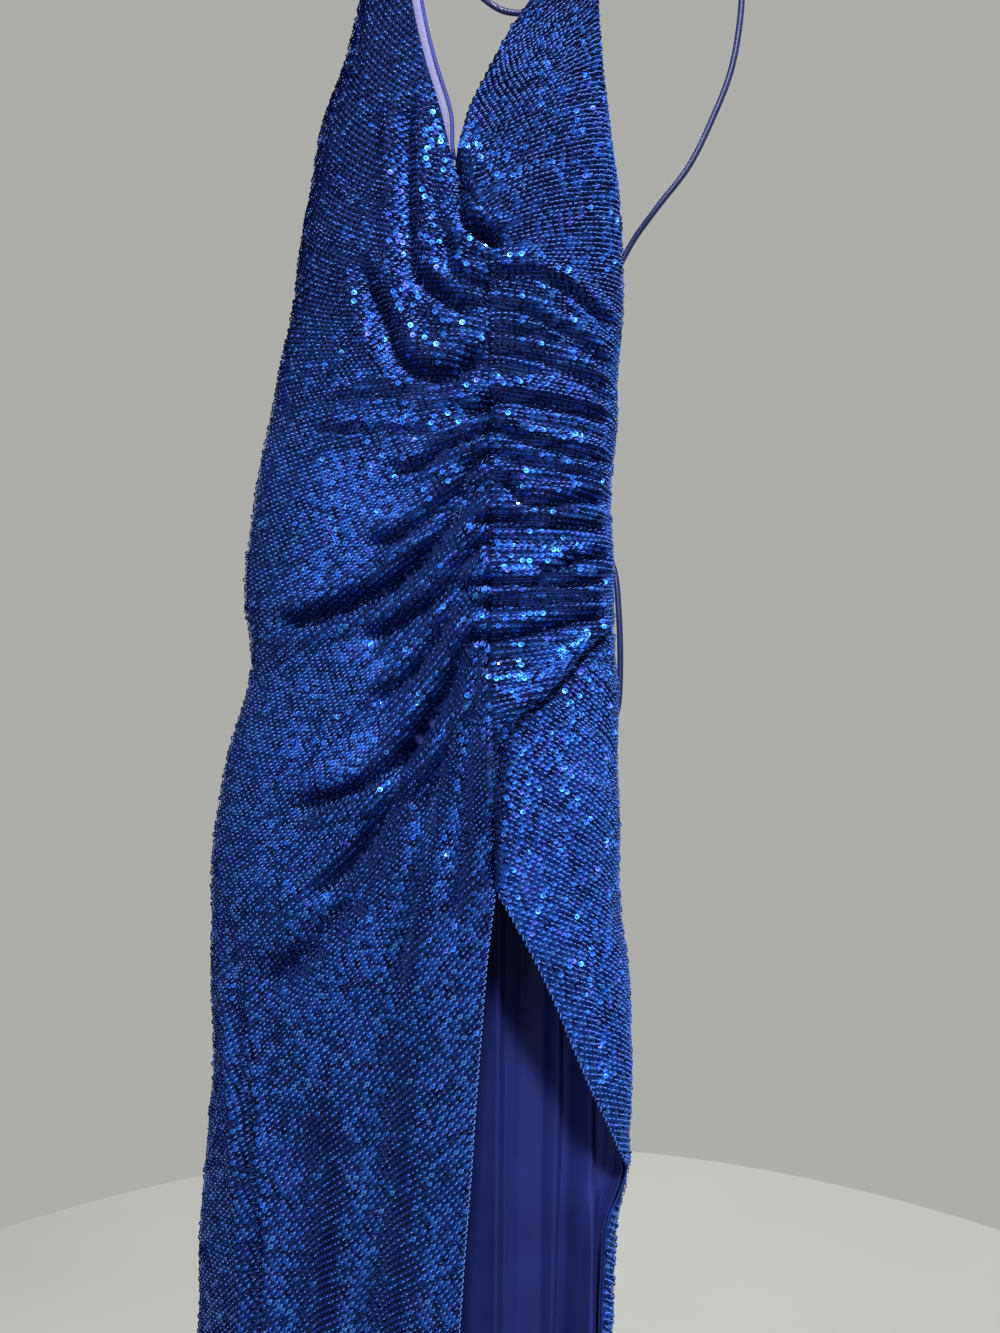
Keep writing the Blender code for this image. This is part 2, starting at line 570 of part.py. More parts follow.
CHAIN_TOP = BACK_DIP - 0.004
CHAIN_LOW = BACK_DIP - ZIP_LENGTH + 0.004
CHAIN_OUT = BACK_DEPTH - 0.0006  # the chain's outer face, just under the panels' own
CHAIN_IN = CHAIN_OUT - CHAIN_THICKNESS
ROW_HALF = SLIDER_HALF_WIDTH + 0.0001  # from the middle to the outside of a tooth row's spine
SPINE = ROW_HALF - CHAIN_GAP / 2 - TOOTH_REACH


def make_zip():
    start, end = BACK_DIP - 0.001, BACK_DIP - ZIP_LENGTH - 0.008
    for side, name in ((-1, "left"), (1, "right")):
        near = ROW_HALF + CLEARANCE

        def tape(s, row, side=side, near=near):
            height = start + (end - start) * row / 5
            share = s if side < 0 else 1 - s
            x = ZIP_X + side * (near + ZIP_TAPE_WIDTH * share)
            return on_gown(back_angle(x, height), height, PANEL_THICKNESS + 2 * CLEARANCE)

        sheet(f"zip_tape_{name}", 2, 5, tape, ZIP_TAPE_THICKNESS, ZIP_NYLON)
        tooth_row(side, f"zip_teeth_{name}")
        low = (ZIP_X + side * ROW_HALF, CHAIN_IN - 0.0003, CHAIN_TOP + CLEARANCE)
        high = (ZIP_X + side * CHAIN_GAP * 0.75, CHAIN_OUT + 0.0003, CHAIN_TOP + 0.0022)
        corners = list(zip(*(sorted(pair) for pair in zip(low, high))))
        finish(box(f"zip_top_stop_{name}", *corners), DARK_METAL)
    finish(box("zip_bottom_stop", (ZIP_X - ROW_HALF, CHAIN_IN - 0.0003, CHAIN_LOW - CLEARANCE - 0.0022),
               (ZIP_X + ROW_HALF, CHAIN_OUT + 0.0003, CHAIN_LOW - CLEARANCE)), DARK_METAL)


def tooth_row(side, name):
    """One row of teeth: a strip cut into teeth and gaps, its teeth drawn out sideways, then thickened."""
    shift = TOOTH_PITCH / 2 if side > 0 else 0.0
    count = int((CHAIN_TOP - CHAIN_LOW - shift) / TOOTH_PITCH)
    steps = [CHAIN_LOW, CHAIN_TOP]
    for tooth in range(count):
        top = CHAIN_TOP - shift - tooth * TOOTH_PITCH - (TOOTH_PITCH - TOOTH_HEIGHT) / 2
        steps += [top, top - TOOTH_HEIGHT]
    steps.sort()
    comb = bmesh.new()
    bmesh.ops.create_grid(comb, x_segments=1, y_segments=len(steps) - 1, size=0.5)
    teeth = []
    for edge in comb.edges:
        row = round((min(v.co.y for v in edge.verts) + 0.5) * (len(steps) - 1))
        upright = abs(edge.verts[0].co.x - edge.verts[1].co.x) < 1e-6
        if upright and edge.verts[0].co.x * side < 0 and row % 2:
            teeth.append(edge)
    for vertex in comb.verts:
        x = ROW_HALF - SPINE * (0.5 - side * vertex.co.x)
        height = steps[round((vertex.co.y + 0.5) * (len(steps) - 1))]
        vertex.co = (ZIP_X + side * x, CHAIN_OUT, height)
    drawn = bmesh.ops.extrude_edge_only(comb, edges=teeth)["geom"]
    tips = [part for part in drawn if isinstance(part, bmesh.types.BMVert)]
    bmesh.ops.translate(comb, vec=(-side * TOOTH_REACH, 0, 0), verts=tips)
    bmesh.ops.recalc_face_normals(comb, faces=comb.faces)
    if comb.faces[0].normal.y < 0:
        bmesh.ops.reverse_faces(comb, faces=comb.faces)
    mesh = bpy.data.meshes.new(name)
    comb.to_mesh(mesh)
    comb.free()
    obj = bpy.data.objects.new(name, mesh)
    wall = obj.modifiers.new("thickness", "SOLIDIFY")
    wall.thickness = CHAIN_THICKNESS
    wall.offset = -1
    finish(obj, ZIP_NYLON)


SLIDER_TOP = CHAIN_TOP - CLEARANCE
SLIDER_LOW = SLIDER_TOP - SLIDER_LENGTH
PLATE_OUT = CHAIN_OUT + CLEARANCE  # inner face of the slider's outer plate
PIN_HEIGHT = SLIDER_TOP - 0.0030
PIN_DEPTH = PLATE_OUT + SLIDER_PLATE + CLEARANCE + BARREL_RADIUS


def make_slider():
    """The zip's slider: two plates joined by a divider, with two lugs and a pin for the pull tab."""
    slider = finish(box("zip_slider", (ZIP_X - SLIDER_HALF_WIDTH, PLATE_OUT, SLIDER_LOW),
                        (ZIP_X + SLIDER_HALF_WIDTH, PLATE_OUT + SLIDER_PLATE, SLIDER_TOP)), DARK_METAL)
    inner = box("slider_inner_plate", (ZIP_X - SLIDER_HALF_WIDTH, CHAIN_IN - CLEARANCE - SLIDER_PLATE, SLIDER_LOW),
                (ZIP_X + SLIDER_HALF_WIDTH, CHAIN_IN - CLEARANCE, SLIDER_TOP), cutters)
    half = CHAIN_GAP / 2 - CLEARANCE
    divider = box("slider_divider", (ZIP_X - half, CHAIN_IN - CLEARANCE - SLIDER_PLATE / 2, SLIDER_TOP - 0.0035),
                  (ZIP_X + half, PLATE_OUT + SLIDER_PLATE / 2, SLIDER_TOP - 0.0005), cutters)
    helpers = [divider, inner]
    lug_in, lug_out = TAB_HALF_EYE + CLEARANCE, TAB_HALF_EYE + CLEARANCE + 0.0009
    for side in (-1, 1):
        xs = sorted((ZIP_X + side * lug_in, ZIP_X + side * lug_out))
        helpers.append(box(f"slider_lug_{'left' if side < 0 else 'right'}",
                           (xs[0], PLATE_OUT + SLIDER_PLATE / 2, PIN_HEIGHT - 0.0012),
                           (xs[1], PIN_DEPTH + 0.0012, PIN_HEIGHT + 0.0012), cutters))
    helpers.append(rod("slider_pin", (ZIP_X - lug_out + 0.0004, PIN_DEPTH, PIN_HEIGHT),
                       (ZIP_X + lug_out - 0.0004, PIN_DEPTH, PIN_HEIGHT), PIN_RADIUS, cutters))
    for helper in helpers:
        combine(slider, helper, "UNION")

    tab = finish(box("zip_pull_tab", (ZIP_X - TAB_WIDTH / 2, PIN_DEPTH - TAB_THICKNESS / 2, PIN_HEIGHT - TAB_LENGTH),
                     (ZIP_X + TAB_WIDTH / 2, PIN_DEPTH + TAB_THICKNESS / 2, PIN_HEIGHT - 0.0034)), DARK_METAL)
    neck = box("tab_neck", (ZIP_X - TAB_HALF_EYE * 0.9, PIN_DEPTH - TAB_THICKNESS * 0.45, PIN_HEIGHT - 0.0040),
               (ZIP_X + TAB_HALF_EYE * 0.9, PIN_DEPTH + TAB_THICKNESS * 0.45, PIN_HEIGHT), cutters)
    barrel = rod("tab_barrel", (ZIP_X - TAB_HALF_EYE, PIN_DEPTH, PIN_HEIGHT),
                 (ZIP_X + TAB_HALF_EYE, PIN_DEPTH, PIN_HEIGHT), BARREL_RADIUS, cutters)
    hole = rod("tab_eye", (ZIP_X - TAB_WIDTH, PIN_DEPTH, PIN_HEIGHT), (ZIP_X + TAB_WIDTH, PIN_DEPTH, PIN_HEIGHT),
               PIN_RADIUS + CLEARANCE, cutters)
    for helper, operation in ((neck, "UNION"), (barrel, "UNION"), (hole, "DIFFERENCE")):
        combine(tab, helper, operation)


def make_hook_and_eye():
    """A wire hook and eye that close the back above the zip, inside the lining."""
    depth = BACK_DEPTH - PANEL_THICKNESS - LINING_GAP - LINING_THICKNESS - 0.0040
    height = BACK_DIP - 0.006
    lift = 2 * WIRE_RADIUS + 0.00035
    bar = ZIP_X + 0.0025
    eye = ((bar + 0.0070, 0.0025), (bar, 0.0025), (bar, -0.0025), (bar + 0.0070, -0.0025))
    tube("back_eye", [Vector((x, depth, height + z)) for x, z in eye], WIRE_RADIUS, DARK_METAL)
    shank = [Vector((bar - 0.0120, depth - lift, height)), Vector((bar, depth - lift, height))]
    bend = [math.radians(-90 + 30 * step) for step in range(1, 6)]
    curl = [Vector((bar + lift * math.cos(a), depth + lift * math.sin(a), height)) for a in bend]
    bill = [Vector((bar, depth + lift, height)), Vector((bar - 0.0045, depth + lift, height))]
    tube("back_hook", [*shank, *curl, *bill], WIRE_RADIUS, DARK_METAL)


make_panels()
make_linings()
make_bindings()
make_loops()
make_cords()
make_inner_parts()
make_zip()
make_slider()
make_hook_and_eye()
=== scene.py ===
"""A sequinned evening gown, hanging empty: V neck, gathered centre seam, swept slit and laced open back.

Metres, +Z up, the front facing -Y, left and right as the viewer sees them.
"""

import math

import bmesh
import bpy
import numpy as np
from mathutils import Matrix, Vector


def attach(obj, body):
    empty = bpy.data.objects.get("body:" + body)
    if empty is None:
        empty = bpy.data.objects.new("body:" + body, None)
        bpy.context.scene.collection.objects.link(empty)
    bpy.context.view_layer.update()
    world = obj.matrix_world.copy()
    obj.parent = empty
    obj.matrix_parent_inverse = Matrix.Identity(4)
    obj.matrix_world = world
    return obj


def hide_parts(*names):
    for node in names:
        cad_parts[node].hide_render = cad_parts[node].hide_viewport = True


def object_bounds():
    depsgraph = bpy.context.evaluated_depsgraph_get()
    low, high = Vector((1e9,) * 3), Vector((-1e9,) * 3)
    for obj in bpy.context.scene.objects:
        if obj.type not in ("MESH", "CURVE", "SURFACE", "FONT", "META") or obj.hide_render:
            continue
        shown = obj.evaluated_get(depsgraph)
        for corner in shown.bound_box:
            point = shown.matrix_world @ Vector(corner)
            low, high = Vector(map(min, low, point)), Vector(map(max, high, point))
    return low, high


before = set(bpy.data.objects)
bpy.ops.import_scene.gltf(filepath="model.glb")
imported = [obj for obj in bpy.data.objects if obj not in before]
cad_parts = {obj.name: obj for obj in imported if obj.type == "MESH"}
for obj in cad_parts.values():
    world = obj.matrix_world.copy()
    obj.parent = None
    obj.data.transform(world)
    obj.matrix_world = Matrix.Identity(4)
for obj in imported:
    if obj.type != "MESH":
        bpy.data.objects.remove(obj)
cad_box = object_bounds()

# --- Camera, lights and floor ---
# The gown hangs against a pale studio. One fairly small lamp above the camera gives the hard sparkle and
# the slit's shadow; wide soft lamps fill the folds.
lens = bpy.data.cameras.new("camera")
lens.lens = 27.7
lens.sensor_fit = "VERTICAL"
lens.sensor_height = 36
camera = bpy.data.objects.new("camera", lens)
camera.location = (0.0035, -0.708, -0.543)
camera.rotation_euler = (math.pi / 2, 0, 0)
bpy.context.scene.collection.objects.link(camera)
bpy.context.scene.camera = camera
bpy.context.scene.view_settings.view_transform = "Standard"


def linear(colour):
    """An sRGB hex colour as linear red, green, blue and alpha."""
    parts = [int(colour[i:i + 2], 16) / 255 for i in (1, 3, 5)]
    return [part / 12.92 if part < 0.04045 else ((part + 0.055) / 1.055) ** 2.4 for part in parts] + [1.0]


# Each lamp's name, place, the point it faces, its size and its power in watts.
LAMPS = (("key", (0.10, -1.75, 1.20), (0, 0, -0.62), 0.26, 135),
         ("fill_left", (-1.5, -1.9, 0.0), (0, 0, -0.7), 1.4, 10),
         ("side_right", (1.9, -0.9, -0.1), (0, 0, -0.7), 0.14, 2.5),
         ("sparkle_low", (-0.7, -2.0, -0.7), (0, 0, -0.8), 0.12, 4),
         ("back_fill", (0.6, 2.2, 0.6), (0, 0, -0.6), 1.2, 45))
for name, place, target, size, power in LAMPS:
    lamp = bpy.data.lights.new(name, "AREA")
    lamp.size = size
    lamp.energy = power
    holder = bpy.data.objects.new(name, lamp)
    aim = np.subtract(target, place)
    holder.location = place
    holder.rotation_euler = (math.atan2(math.hypot(aim[0], aim[1]), -aim[2]), 0, math.atan2(-aim[0], aim[1]))
    bpy.context.scene.collection.objects.link(holder)

world = bpy.data.worlds.new("pale_studio")
world.use_nodes = True
world.node_tree.nodes["Background"].inputs["Color"].default_value = linear("#d3d3cf")
world.node_tree.nodes["Background"].inputs["Strength"].default_value = 0.64
bpy.context.scene.world = world


def add_node(material, kind, inputs=None, stops=(), feeds=None, **settings):
    """Adds a node. inputs maps a socket to a value or to another node's output. stops are a ramp's
    (position, colour) pairs, and feeds names the shader's socket that the first output drives."""
    node = material.node_tree.nodes.new(kind)
    for key, value in settings.items():
        setattr(node, key, value)
    for key, value in (inputs or {}).items():
        if isinstance(value, bpy.types.NodeSocket):
            material.node_tree.links.new(value, node.inputs[key])
        else:
            node.inputs[key].default_value = value
    while stops and len(node.color_ramp.elements) < len(stops):
        node.color_ramp.elements.new(0.5)
    for number, (position, colour) in enumerate(stops):
        node.color_ramp.elements[number].position = position
        node.color_ramp.elements[number].color = linear(colour)
    if feeds:
        shader = material.node_tree.nodes["Principled BSDF"]
        material.node_tree.links.new(node.outputs[0], shader.inputs[feeds])
    return node


def new_material(name, colour, roughness, metallic=0.0, **sockets):
    """A material with its shader's constants set: the other sockets by name, with _ for a space."""
    made = bpy.data.materials.new(name)
    made.use_nodes = True
    shader = made.node_tree.nodes["Principled BSDF"]
    shader.inputs["Base Color"].default_value = linear(colour)
    shader.inputs["Roughness"].default_value = roughness
    shader.inputs["Metallic"].default_value = metallic
    for key, value in sockets.items():
        shader.inputs[key.replace("_", " ")].default_value = value
    return made


def show(name, mesh_or_curve, *materials, cad_nodes=(), slot=None):
    """Puts a finished piece in the scene, riding on the gown."""
    piece = bpy.data.objects.new(name, mesh_or_curve)
    for material in materials:
        mesh_or_curve.materials.append(material)
    bpy.context.scene.collection.objects.link(piece)
    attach(piece, "gown")
    if cad_nodes:
        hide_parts(*cad_nodes)
    return piece


def finish_mesh(name, shape, smooth_shaded=True):
    """The mesh of a bmesh, which is freed."""
    for face in shape.faces:
        face.smooth = smooth_shaded
    data = bpy.data.meshes.new(name)
    shape.to_mesh(data)
    shape.free()
    return data


FLOOR_DROP, FLOOR_RADIUS = 0.03, 1.3
floor_mesh = bmesh.new()
bmesh.ops.create_circle(floor_mesh, cap_ends=True, segments=96, radius=FLOOR_RADIUS)
bmesh.ops.translate(floor_mesh, verts=floor_mesh.verts, vec=(0, 0, cad_box[0].z - FLOOR_DROP))
floor_data = finish_mesh("floor", floor_mesh, False)
floor = bpy.data.objects.new("floor", floor_data)
bpy.context.scene.collection.objects.link(floor)
# Matt painted floor: a faint cloudy unevenness and nothing else.
floor_paint = new_material("matt_floor_paint", "#9c9c98", 0.9)
place = add_node(floor_paint, "ShaderNodeTexCoord").outputs["Object"]
cloud = add_node(floor_paint, "ShaderNodeTexNoise",
                 {"Vector": place, "Scale": 1.5, "Detail": 3.0}).outputs["Fac"]
add_node(floor_paint, "ShaderNodeValToRGB", {0: cloud}, ((0.3, "#989894"), (0.7, "#9f9f9b")), "Base Color")
floor_data.materials.append(floor_paint)

# --- Lacing cords, their bow and their knots ---
# Soft satin rat-tail cord, 4.4 mm thick, sewn to the two bodice points. Each strap goes over the hanger's
# arm, down the back and through three loops; the two are tied in a bow over the zip and end in overhand
# knots.
CORD_DIAMETER = 0.0044
KNOT = (-0.048, 0.062, -0.470)
CORD_ROUTES = {
    "strap_cord_left": (
        (-0.0733, -0.0040, -0.0194), (-0.0735, -0.0025, -0.0090), (-0.0715, 0.0045, -0.0032),
        (-0.0620, 0.0110, -0.0120), (-0.0380, 0.0120, -0.0440), (-0.0056, 0.0110, -0.0766),
        (0.0140, 0.0100, -0.0855), (0.0350, 0.0100, -0.0810), (0.0900, 0.0110, -0.0600),
        (0.1420, 0.0120, -0.0400), (0.1590, 0.0090, -0.0350), (0.1695, 0.0040, -0.0440),
        (0.1715, 0.0030, -0.0650), (0.1698, 0.0040, -0.0970), (0.1640, 0.0060, -0.1290),
        (0.1520, 0.0080, -0.1600), (0.1360, 0.0110, -0.1920), (0.1150, 0.0170, -0.2180),
        (0.0990, 0.0260, -0.2380), (0.0870, 0.0310, -0.2600), (0.0775, 0.0290, -0.2810),
        (0.0690, 0.0200, -0.2920), (0.0620, 0.0120, -0.2945), (0.0520, 0.0100, -0.2980),
        (0.0200, 0.0200, -0.3110), (-0.0200, 0.0260, -0.3230), (-0.0600, 0.0230, -0.3350),
        (-0.1000, 0.0130, -0.3450), (-0.1250, 0.0100, -0.3505), (-0.1340, 0.0190, -0.3520),
        (-0.1250, 0.0280, -0.3535), (-0.0850, 0.0360, -0.3640), (-0.0400, 0.0400, -0.3800),
        (0.0000, 0.0440, -0.3960), (0.0180, 0.0470, -0.4050), (0.0270, 0.0460, -0.4095),
        (0.0345, 0.0370, -0.4120), (0.0270, 0.0280, -0.4145), (0.0120, 0.0310, -0.4220),
        (-0.0080, 0.0440, -0.4360), (-0.0300, 0.0560, -0.4500), (-0.0423, 0.0600, -0.4618),
    ),
    "strap_cord_right": (
        (0.0647, -0.0046, -0.0154), (0.0650, -0.0030, -0.0080), (0.0660, 0.0040, -0.0030),
        (0.0680, 0.0115, -0.0110), (0.0705, 0.0180, -0.0450), (0.0715, 0.0190, -0.0950),
        (0.0700, 0.0210, -0.1450), (0.0600, 0.0240, -0.1950), (0.0350, 0.0300, -0.2350),
        (-0.0050, 0.0340, -0.2600), (-0.0550, 0.0330, -0.2750), (-0.0980, 0.0250, -0.2870),
        (-0.1185, 0.0185, -0.2905), (-0.1275, 0.0095, -0.2920), (-0.1185, 0.0005, -0.2935),
        (-0.0900, 0.0030, -0.3000), (-0.0500, 0.0110, -0.3130), (-0.0200, 0.0160, -0.3220),
        (0.0100, 0.0190, -0.3320), (0.0360, 0.0180, -0.3450), (0.0475, 0.0200, -0.3505),
        (0.0565, 0.0290, -0.3520), (0.0475, 0.0380, -0.3535), (0.0200, 0.0360, -0.3640),
        (-0.0300, 0.0300, -0.3800), (-0.0800, 0.0250, -0.3960), (-0.1100, 0.0200, -0.4070),
        (-0.1225, 0.0215, -0.4105), (-0.1315, 0.0305, -0.4120), (-0.1225, 0.0395, -0.4135),
        (-0.1000, 0.0490, -0.4240), (-0.0740, 0.0570, -0.4410), (-0.0537, 0.0600, -0.4618),
    ),
    "bow_loop_right": (
        (-0.0383, 0.0640, -0.4674), (-0.0270, 0.0672, -0.4645), (-0.0100, 0.0710, -0.4560),
        (0.0200, 0.0700, -0.4450), (0.0520, 0.0560, -0.4420), (0.0750, 0.0380, -0.4520),
        (0.0850, 0.0265, -0.4730), (0.0880, 0.0215, -0.5050), (0.0888, 0.0200, -0.5450),
        (0.0862, 0.0205, -0.5760), (0.0750, 0.0260, -0.5960), (0.0560, 0.0370, -0.5990),
        (0.0280, 0.0460, -0.5680), (0.0020, 0.0520, -0.5250), (-0.0180, 0.0600, -0.4920),
        (-0.0280, 0.0630, -0.4790), (-0.0387, 0.0640, -0.4737),
    ),
    "bow_loop_left": (
        (-0.0577, 0.0640, -0.4674), (-0.0690, 0.0670, -0.4645), (-0.0860, 0.0700, -0.4560),
        (-0.1130, 0.0670, -0.4500), (-0.1350, 0.0560, -0.4620), (-0.1440, 0.0470, -0.4900),
        (-0.1430, 0.0430, -0.5300), (-0.1310, 0.0430, -0.5600), (-0.1110, 0.0490, -0.5640),
        (-0.0920, 0.0540, -0.5380), (-0.0780, 0.0570, -0.5080), (-0.0670, 0.0620, -0.4850),
        (-0.0573, 0.0640, -0.4737),
    ),
    "cord_tail_right": (
        (-0.0438, 0.0625, -0.4791), (-0.0410, 0.0640, -0.4870), (-0.0350, 0.0620, -0.5050),
        (-0.0270, 0.0570, -0.5600), (-0.0210, 0.0530, -0.6300), (-0.0180, 0.0515, -0.7000),
        (-0.0190, 0.0510, -0.7600), (-0.0220, 0.0510, -0.8150),
    ),
    "cord_tail_left": (
        (-0.0522, 0.0625, -0.4791), (-0.0550, 0.0640, -0.4870), (-0.0610, 0.0620, -0.5050),
        (-0.0690, 0.0570, -0.5550), (-0.0780, 0.0530, -0.6200), (-0.0830, 0.0510, -0.6900),
        (-0.0830, 0.0515, -0.7500), (-0.0790, 0.0520, -0.7900),
    ),
}


def smooth(route, steps=8):
    """Points on a smooth curve through a route's points."""
    route = np.array(route, float)
    route = np.vstack((2 * route[0] - route[1], route, 2 * route[-1] - route[-2]))
    t = np.arange(steps)[:, None] / steps
    spans = [
        0.5 * (2 * b + (c - a) * t + (2 * a - 5 * b + 4 * c - d) * t**2 + (3 * b - a - 3 * c + d) * t**3)
        for a, b, c, d in zip(route, route[1:], route[2:], route[3:])
    ]
    return np.vstack((*spans, route[-2]))


def tube(name, points, radius, resolution=3, closed=False):
    """A round cord, thread or wire along points, as a curve with a bevel."""
    curve = bpy.data.curves.new(name, "CURVE")
    curve.dimensions = "3D"
    curve.bevel_depth = radius
    curve.bevel_resolution = resolution
    curve.use_fill_caps = True
    spline = curve.splines.new("POLY")
    spline.points.add(len(points) - 1)
    spline.points.foreach_set("co", np.column_stack((points, np.ones(len(points)))).ravel())
    spline.use_cyclic_u = closed
    return curve


# Rayon satin over a cotton core: smooth, a soft band of sheen, fine slanting ribs 0.9 mm apart.
cord_satin = new_material("rayon_satin_cord", "#10173f", 0.42, Specular_IOR_Level=0.3)
place = add_node(cord_satin, "ShaderNodeTexCoord").outputs["Object"]
ribs = add_node(cord_satin, "ShaderNodeTexWave",
                {"Vector": place, "Scale": 2 * math.pi / (20 * 0.0009), "Distortion": 1.0, "Detail": 1.0},
                bands_direction="DIAGONAL").outputs["Fac"]
add_node(cord_satin, "ShaderNodeValToRGB", {0: ribs}, ((0.1, "#0e1438"), (0.8, "#161f52")), "Base Color")
add_node(cord_satin, "ShaderNodeBump", {"Height": ribs, "Strength": 0.35, "Distance": 0.0003}, feeds="Normal")


def overhand_knot(name, centre, reach, radius):
    """A cord drawn up in a tight trefoil, the shape of an overhand knot. reach sizes its middle line."""
    turn = np.linspace(0, 2 * math.pi, 72, endpoint=False)
    line = np.column_stack((
        (np.sin(turn) + 2 * np.sin(2 * turn)) / 3,
        -np.sin(3 * turn),
        (np.cos(turn) - 2 * np.cos(2 * turn)) / 3,
    ))
    return show(name, tube(name, np.array(centre) + line * reach, radius, closed=True), cord_satin,
                cad_nodes=[name], slot="cord_satin")


knot = overhand_knot("lacing_knot", KNOT, (0.0072, 0.0045, 0.0072), 0.0023)
for side in ("left", "right"):
    end, before = (np.array(point) for point in CORD_ROUTES[f"cord_tail_{side}"][:-3:-1])
    run = (end - before) / np.linalg.norm(end - before)
    overhand_knot(f"tail_knot_{side}", end + run * 0.0050,
                                     (0.0034, 0.0028, 0.0034), 0.0020)
for name, route in CORD_ROUTES.items():
    cord = show(name, tube(name, smooth(route), CORD_DIAMETER / 2), cord_satin,
                cad_nodes=[name], slot="cord_satin")

# --- The sequinned shell: two front panels and two back panels ---
# Stretch knit, sewn from two front panels gathered into the centre seam and two back panels joined by a
# zip. The knit's rows run with the grain, so they sweep with every fold; the sequins are chain-stitched
# along them.
HEM = -1.45
UNDERARM = -0.256
BACK_DIP = -0.500
V_BOTTOM = -0.222
SLIT_TOP = -0.684
FLAP_CORNER = -0.883
LEFT_APEX, RIGHT_APEX = -0.020, -0.016
FRONT_DEPTH, BACK_DEPTH = 0.060, 0.046
SEAM_GAP = 0.0
ZIP_X, ZIP_LENGTH, ZIP_MOUTH = -0.048, 0.190, 0.0068
SIDE = math.pi / 2
WRAP = math.radians(104)  # the right side seam swings round to the back below the underarm
STRIP_ANGLE = math.radians(70)  # where the front's narrow strip starts beside the open slit
LEFT_SIDE = ((0.0, -0.078), (-0.083, -0.0897), (-0.193, -0.1208), (-0.256, -0.1311), (-0.318, -0.1415),
             (-0.407, -0.1605), (-0.490, -0.1712), (-0.538, -0.1665), (-0.628, -0.1875), (-0.704, -0.1932),
             (-0.814, -0.1930), (-0.911, -0.2000), (-1.003, -0.2020), (-1.450, -0.2120))
RIGHT_SIDE = ((0.0, 0.0720), (-0.083, 0.0690), (-0.166, 0.0773), (-0.256, 0.0863), (-0.373, 0.0825),
              (-0.428, 0.0800), (-0.566, 0.0828), (-0.704, 0.0863), (-0.790, 0.0910), (-0.883, 0.0918),
              (-0.925, 0.0830), (-1.003, 0.0800), (-1.450, 0.0860))
DEPTH_SHARE = ((0.0, 0.15), (-0.083, 0.50), (-0.200, 0.87), (-0.256, 0.93), (-0.400, 0.84), (-0.550, 0.92),
               (-0.700, 1.00), (-1.003, 1.03), (-1.450, 1.10))
LEFT_NECK = ((LEFT_APEX, -0.0662), (-0.102, -0.0548), (-0.147, -0.0454), (-0.183, -0.0352),
             (V_BOTTOM, -0.0262))
RIGHT_NECK = ((RIGHT_APEX, 0.0580), (-0.102, 0.0233), (-0.126, 0.0101), (-0.1625, -0.0062),
              (-0.1835, -0.0159), (V_BOTTOM, -0.0262))
CENTRE_SEAM = ((V_BOTTOM, -0.0262), (-0.277, -0.0040), (-0.526, -0.0029), (SLIT_TOP, 0.0003))
SLIT_LEFT = ((SLIT_TOP, 0.0003), (-0.741, -0.0060), (-0.880, -0.0167), (-0.964, -0.0230), (HEM, -0.0520))
SLIT_RIGHT = ((SLIT_TOP, 0.0003), (-0.725, 0.0225), (-0.767, 0.0420), (-0.814, 0.0600), (-0.845, 0.0740),
              (FLAP_CORNER, 0.0905))


def along(knots, height):
    """The values at some heights on a smooth line through (height, value) knots, from the top down."""
    high, value = np.array(knots)[::-1].T
    height = np.clip(height, high[0], high[-1])
    slope = np.diff(value) / np.diff(high)
    pair, total = slope[:-1] * slope[1:], slope[:-1] + slope[1:]
    middle = np.where(pair > 0, 2 * pair / np.where(pair > 0, total, 1), 0)
    slope = np.concatenate((slope[:1], middle, slope[-1:]))
    index = np.clip(np.searchsorted(high, height, side="right") - 1, 0, len(high) - 2)
    span = high[index + 1] - high[index]
    t = (height - high[index]) / span
    return ((2 * t**3 - 3 * t**2 + 1) * value[index] + (t**3 - 2 * t**2 + t) * span * slope[index]
            + (3 * t**2 - 2 * t**3) * value[index + 1] + (t**3 - t**2) * span * slope[index + 1])


def ease(share):
    share = np.clip(share, 0, 1)
    return share * share * (3 - 2 * share)


def section(height):
    """The gown's cross-section at some heights: its centre, half width, and half depth in front."""
    left, right = along(LEFT_SIDE, height), along(RIGHT_SIDE, height)
    return (left + right) / 2, (right - left) / 2, FRONT_DEPTH * along(DEPTH_SHARE, height)


def on_gown(angle, height, out=0.0):
    """Points on the gown, moved outwards. The angle is 0 in front, then turns to the right and behind."""
    centre, half_width, half_depth = section(height)
    depth = np.where(np.cos(angle) > 0, half_depth, BACK_DEPTH)
    across, away = depth * np.sin(angle), -half_width * np.cos(angle)
    size = np.hypot(across, away)
    return np.stack((centre + half_width * np.sin(angle) + out * across / size,
                     -depth * np.cos(angle) + out * away / size,
                     height + 0 * angle), axis=-1)


def front_angle(x, height):
    centre, half_width, _ = section(height)
    return np.arcsin(np.clip((x - centre) / half_width, -1, 1))


def right_seam(height):
    """The angle of the right side seam: at the side at the underarm, then a little round the back."""
    return SIDE + (WRAP - SIDE) * ease((UNDERARM - height) / 0.06)


def left_inner(height):
    """The angle of the front left panel's inner edge: neckline, centre seam, then slit."""
    x = np.where(height > V_BOTTOM, along(LEFT_NECK, height),
                 np.where(height > SLIT_TOP, along(CENTRE_SEAM, height), along(SLIT_LEFT, height)))
    return front_angle(x - SEAM_GAP / 2, height)


def right_inner(height):
    """The angle of the front right panel's inner edge, which runs down the side below the slit's corner."""
    x = np.where(height > V_BOTTOM, along(RIGHT_NECK, height),
                 np.where(height > SLIT_TOP, along(CENTRE_SEAM, height), along(SLIT_RIGHT, height)))
    edge = front_angle(x + SEAM_GAP / 2, np.maximum(height, FLAP_CORNER))
    return edge + (STRIP_ANGLE - edge) * ease((FLAP_CORNER - height) / 0.030)


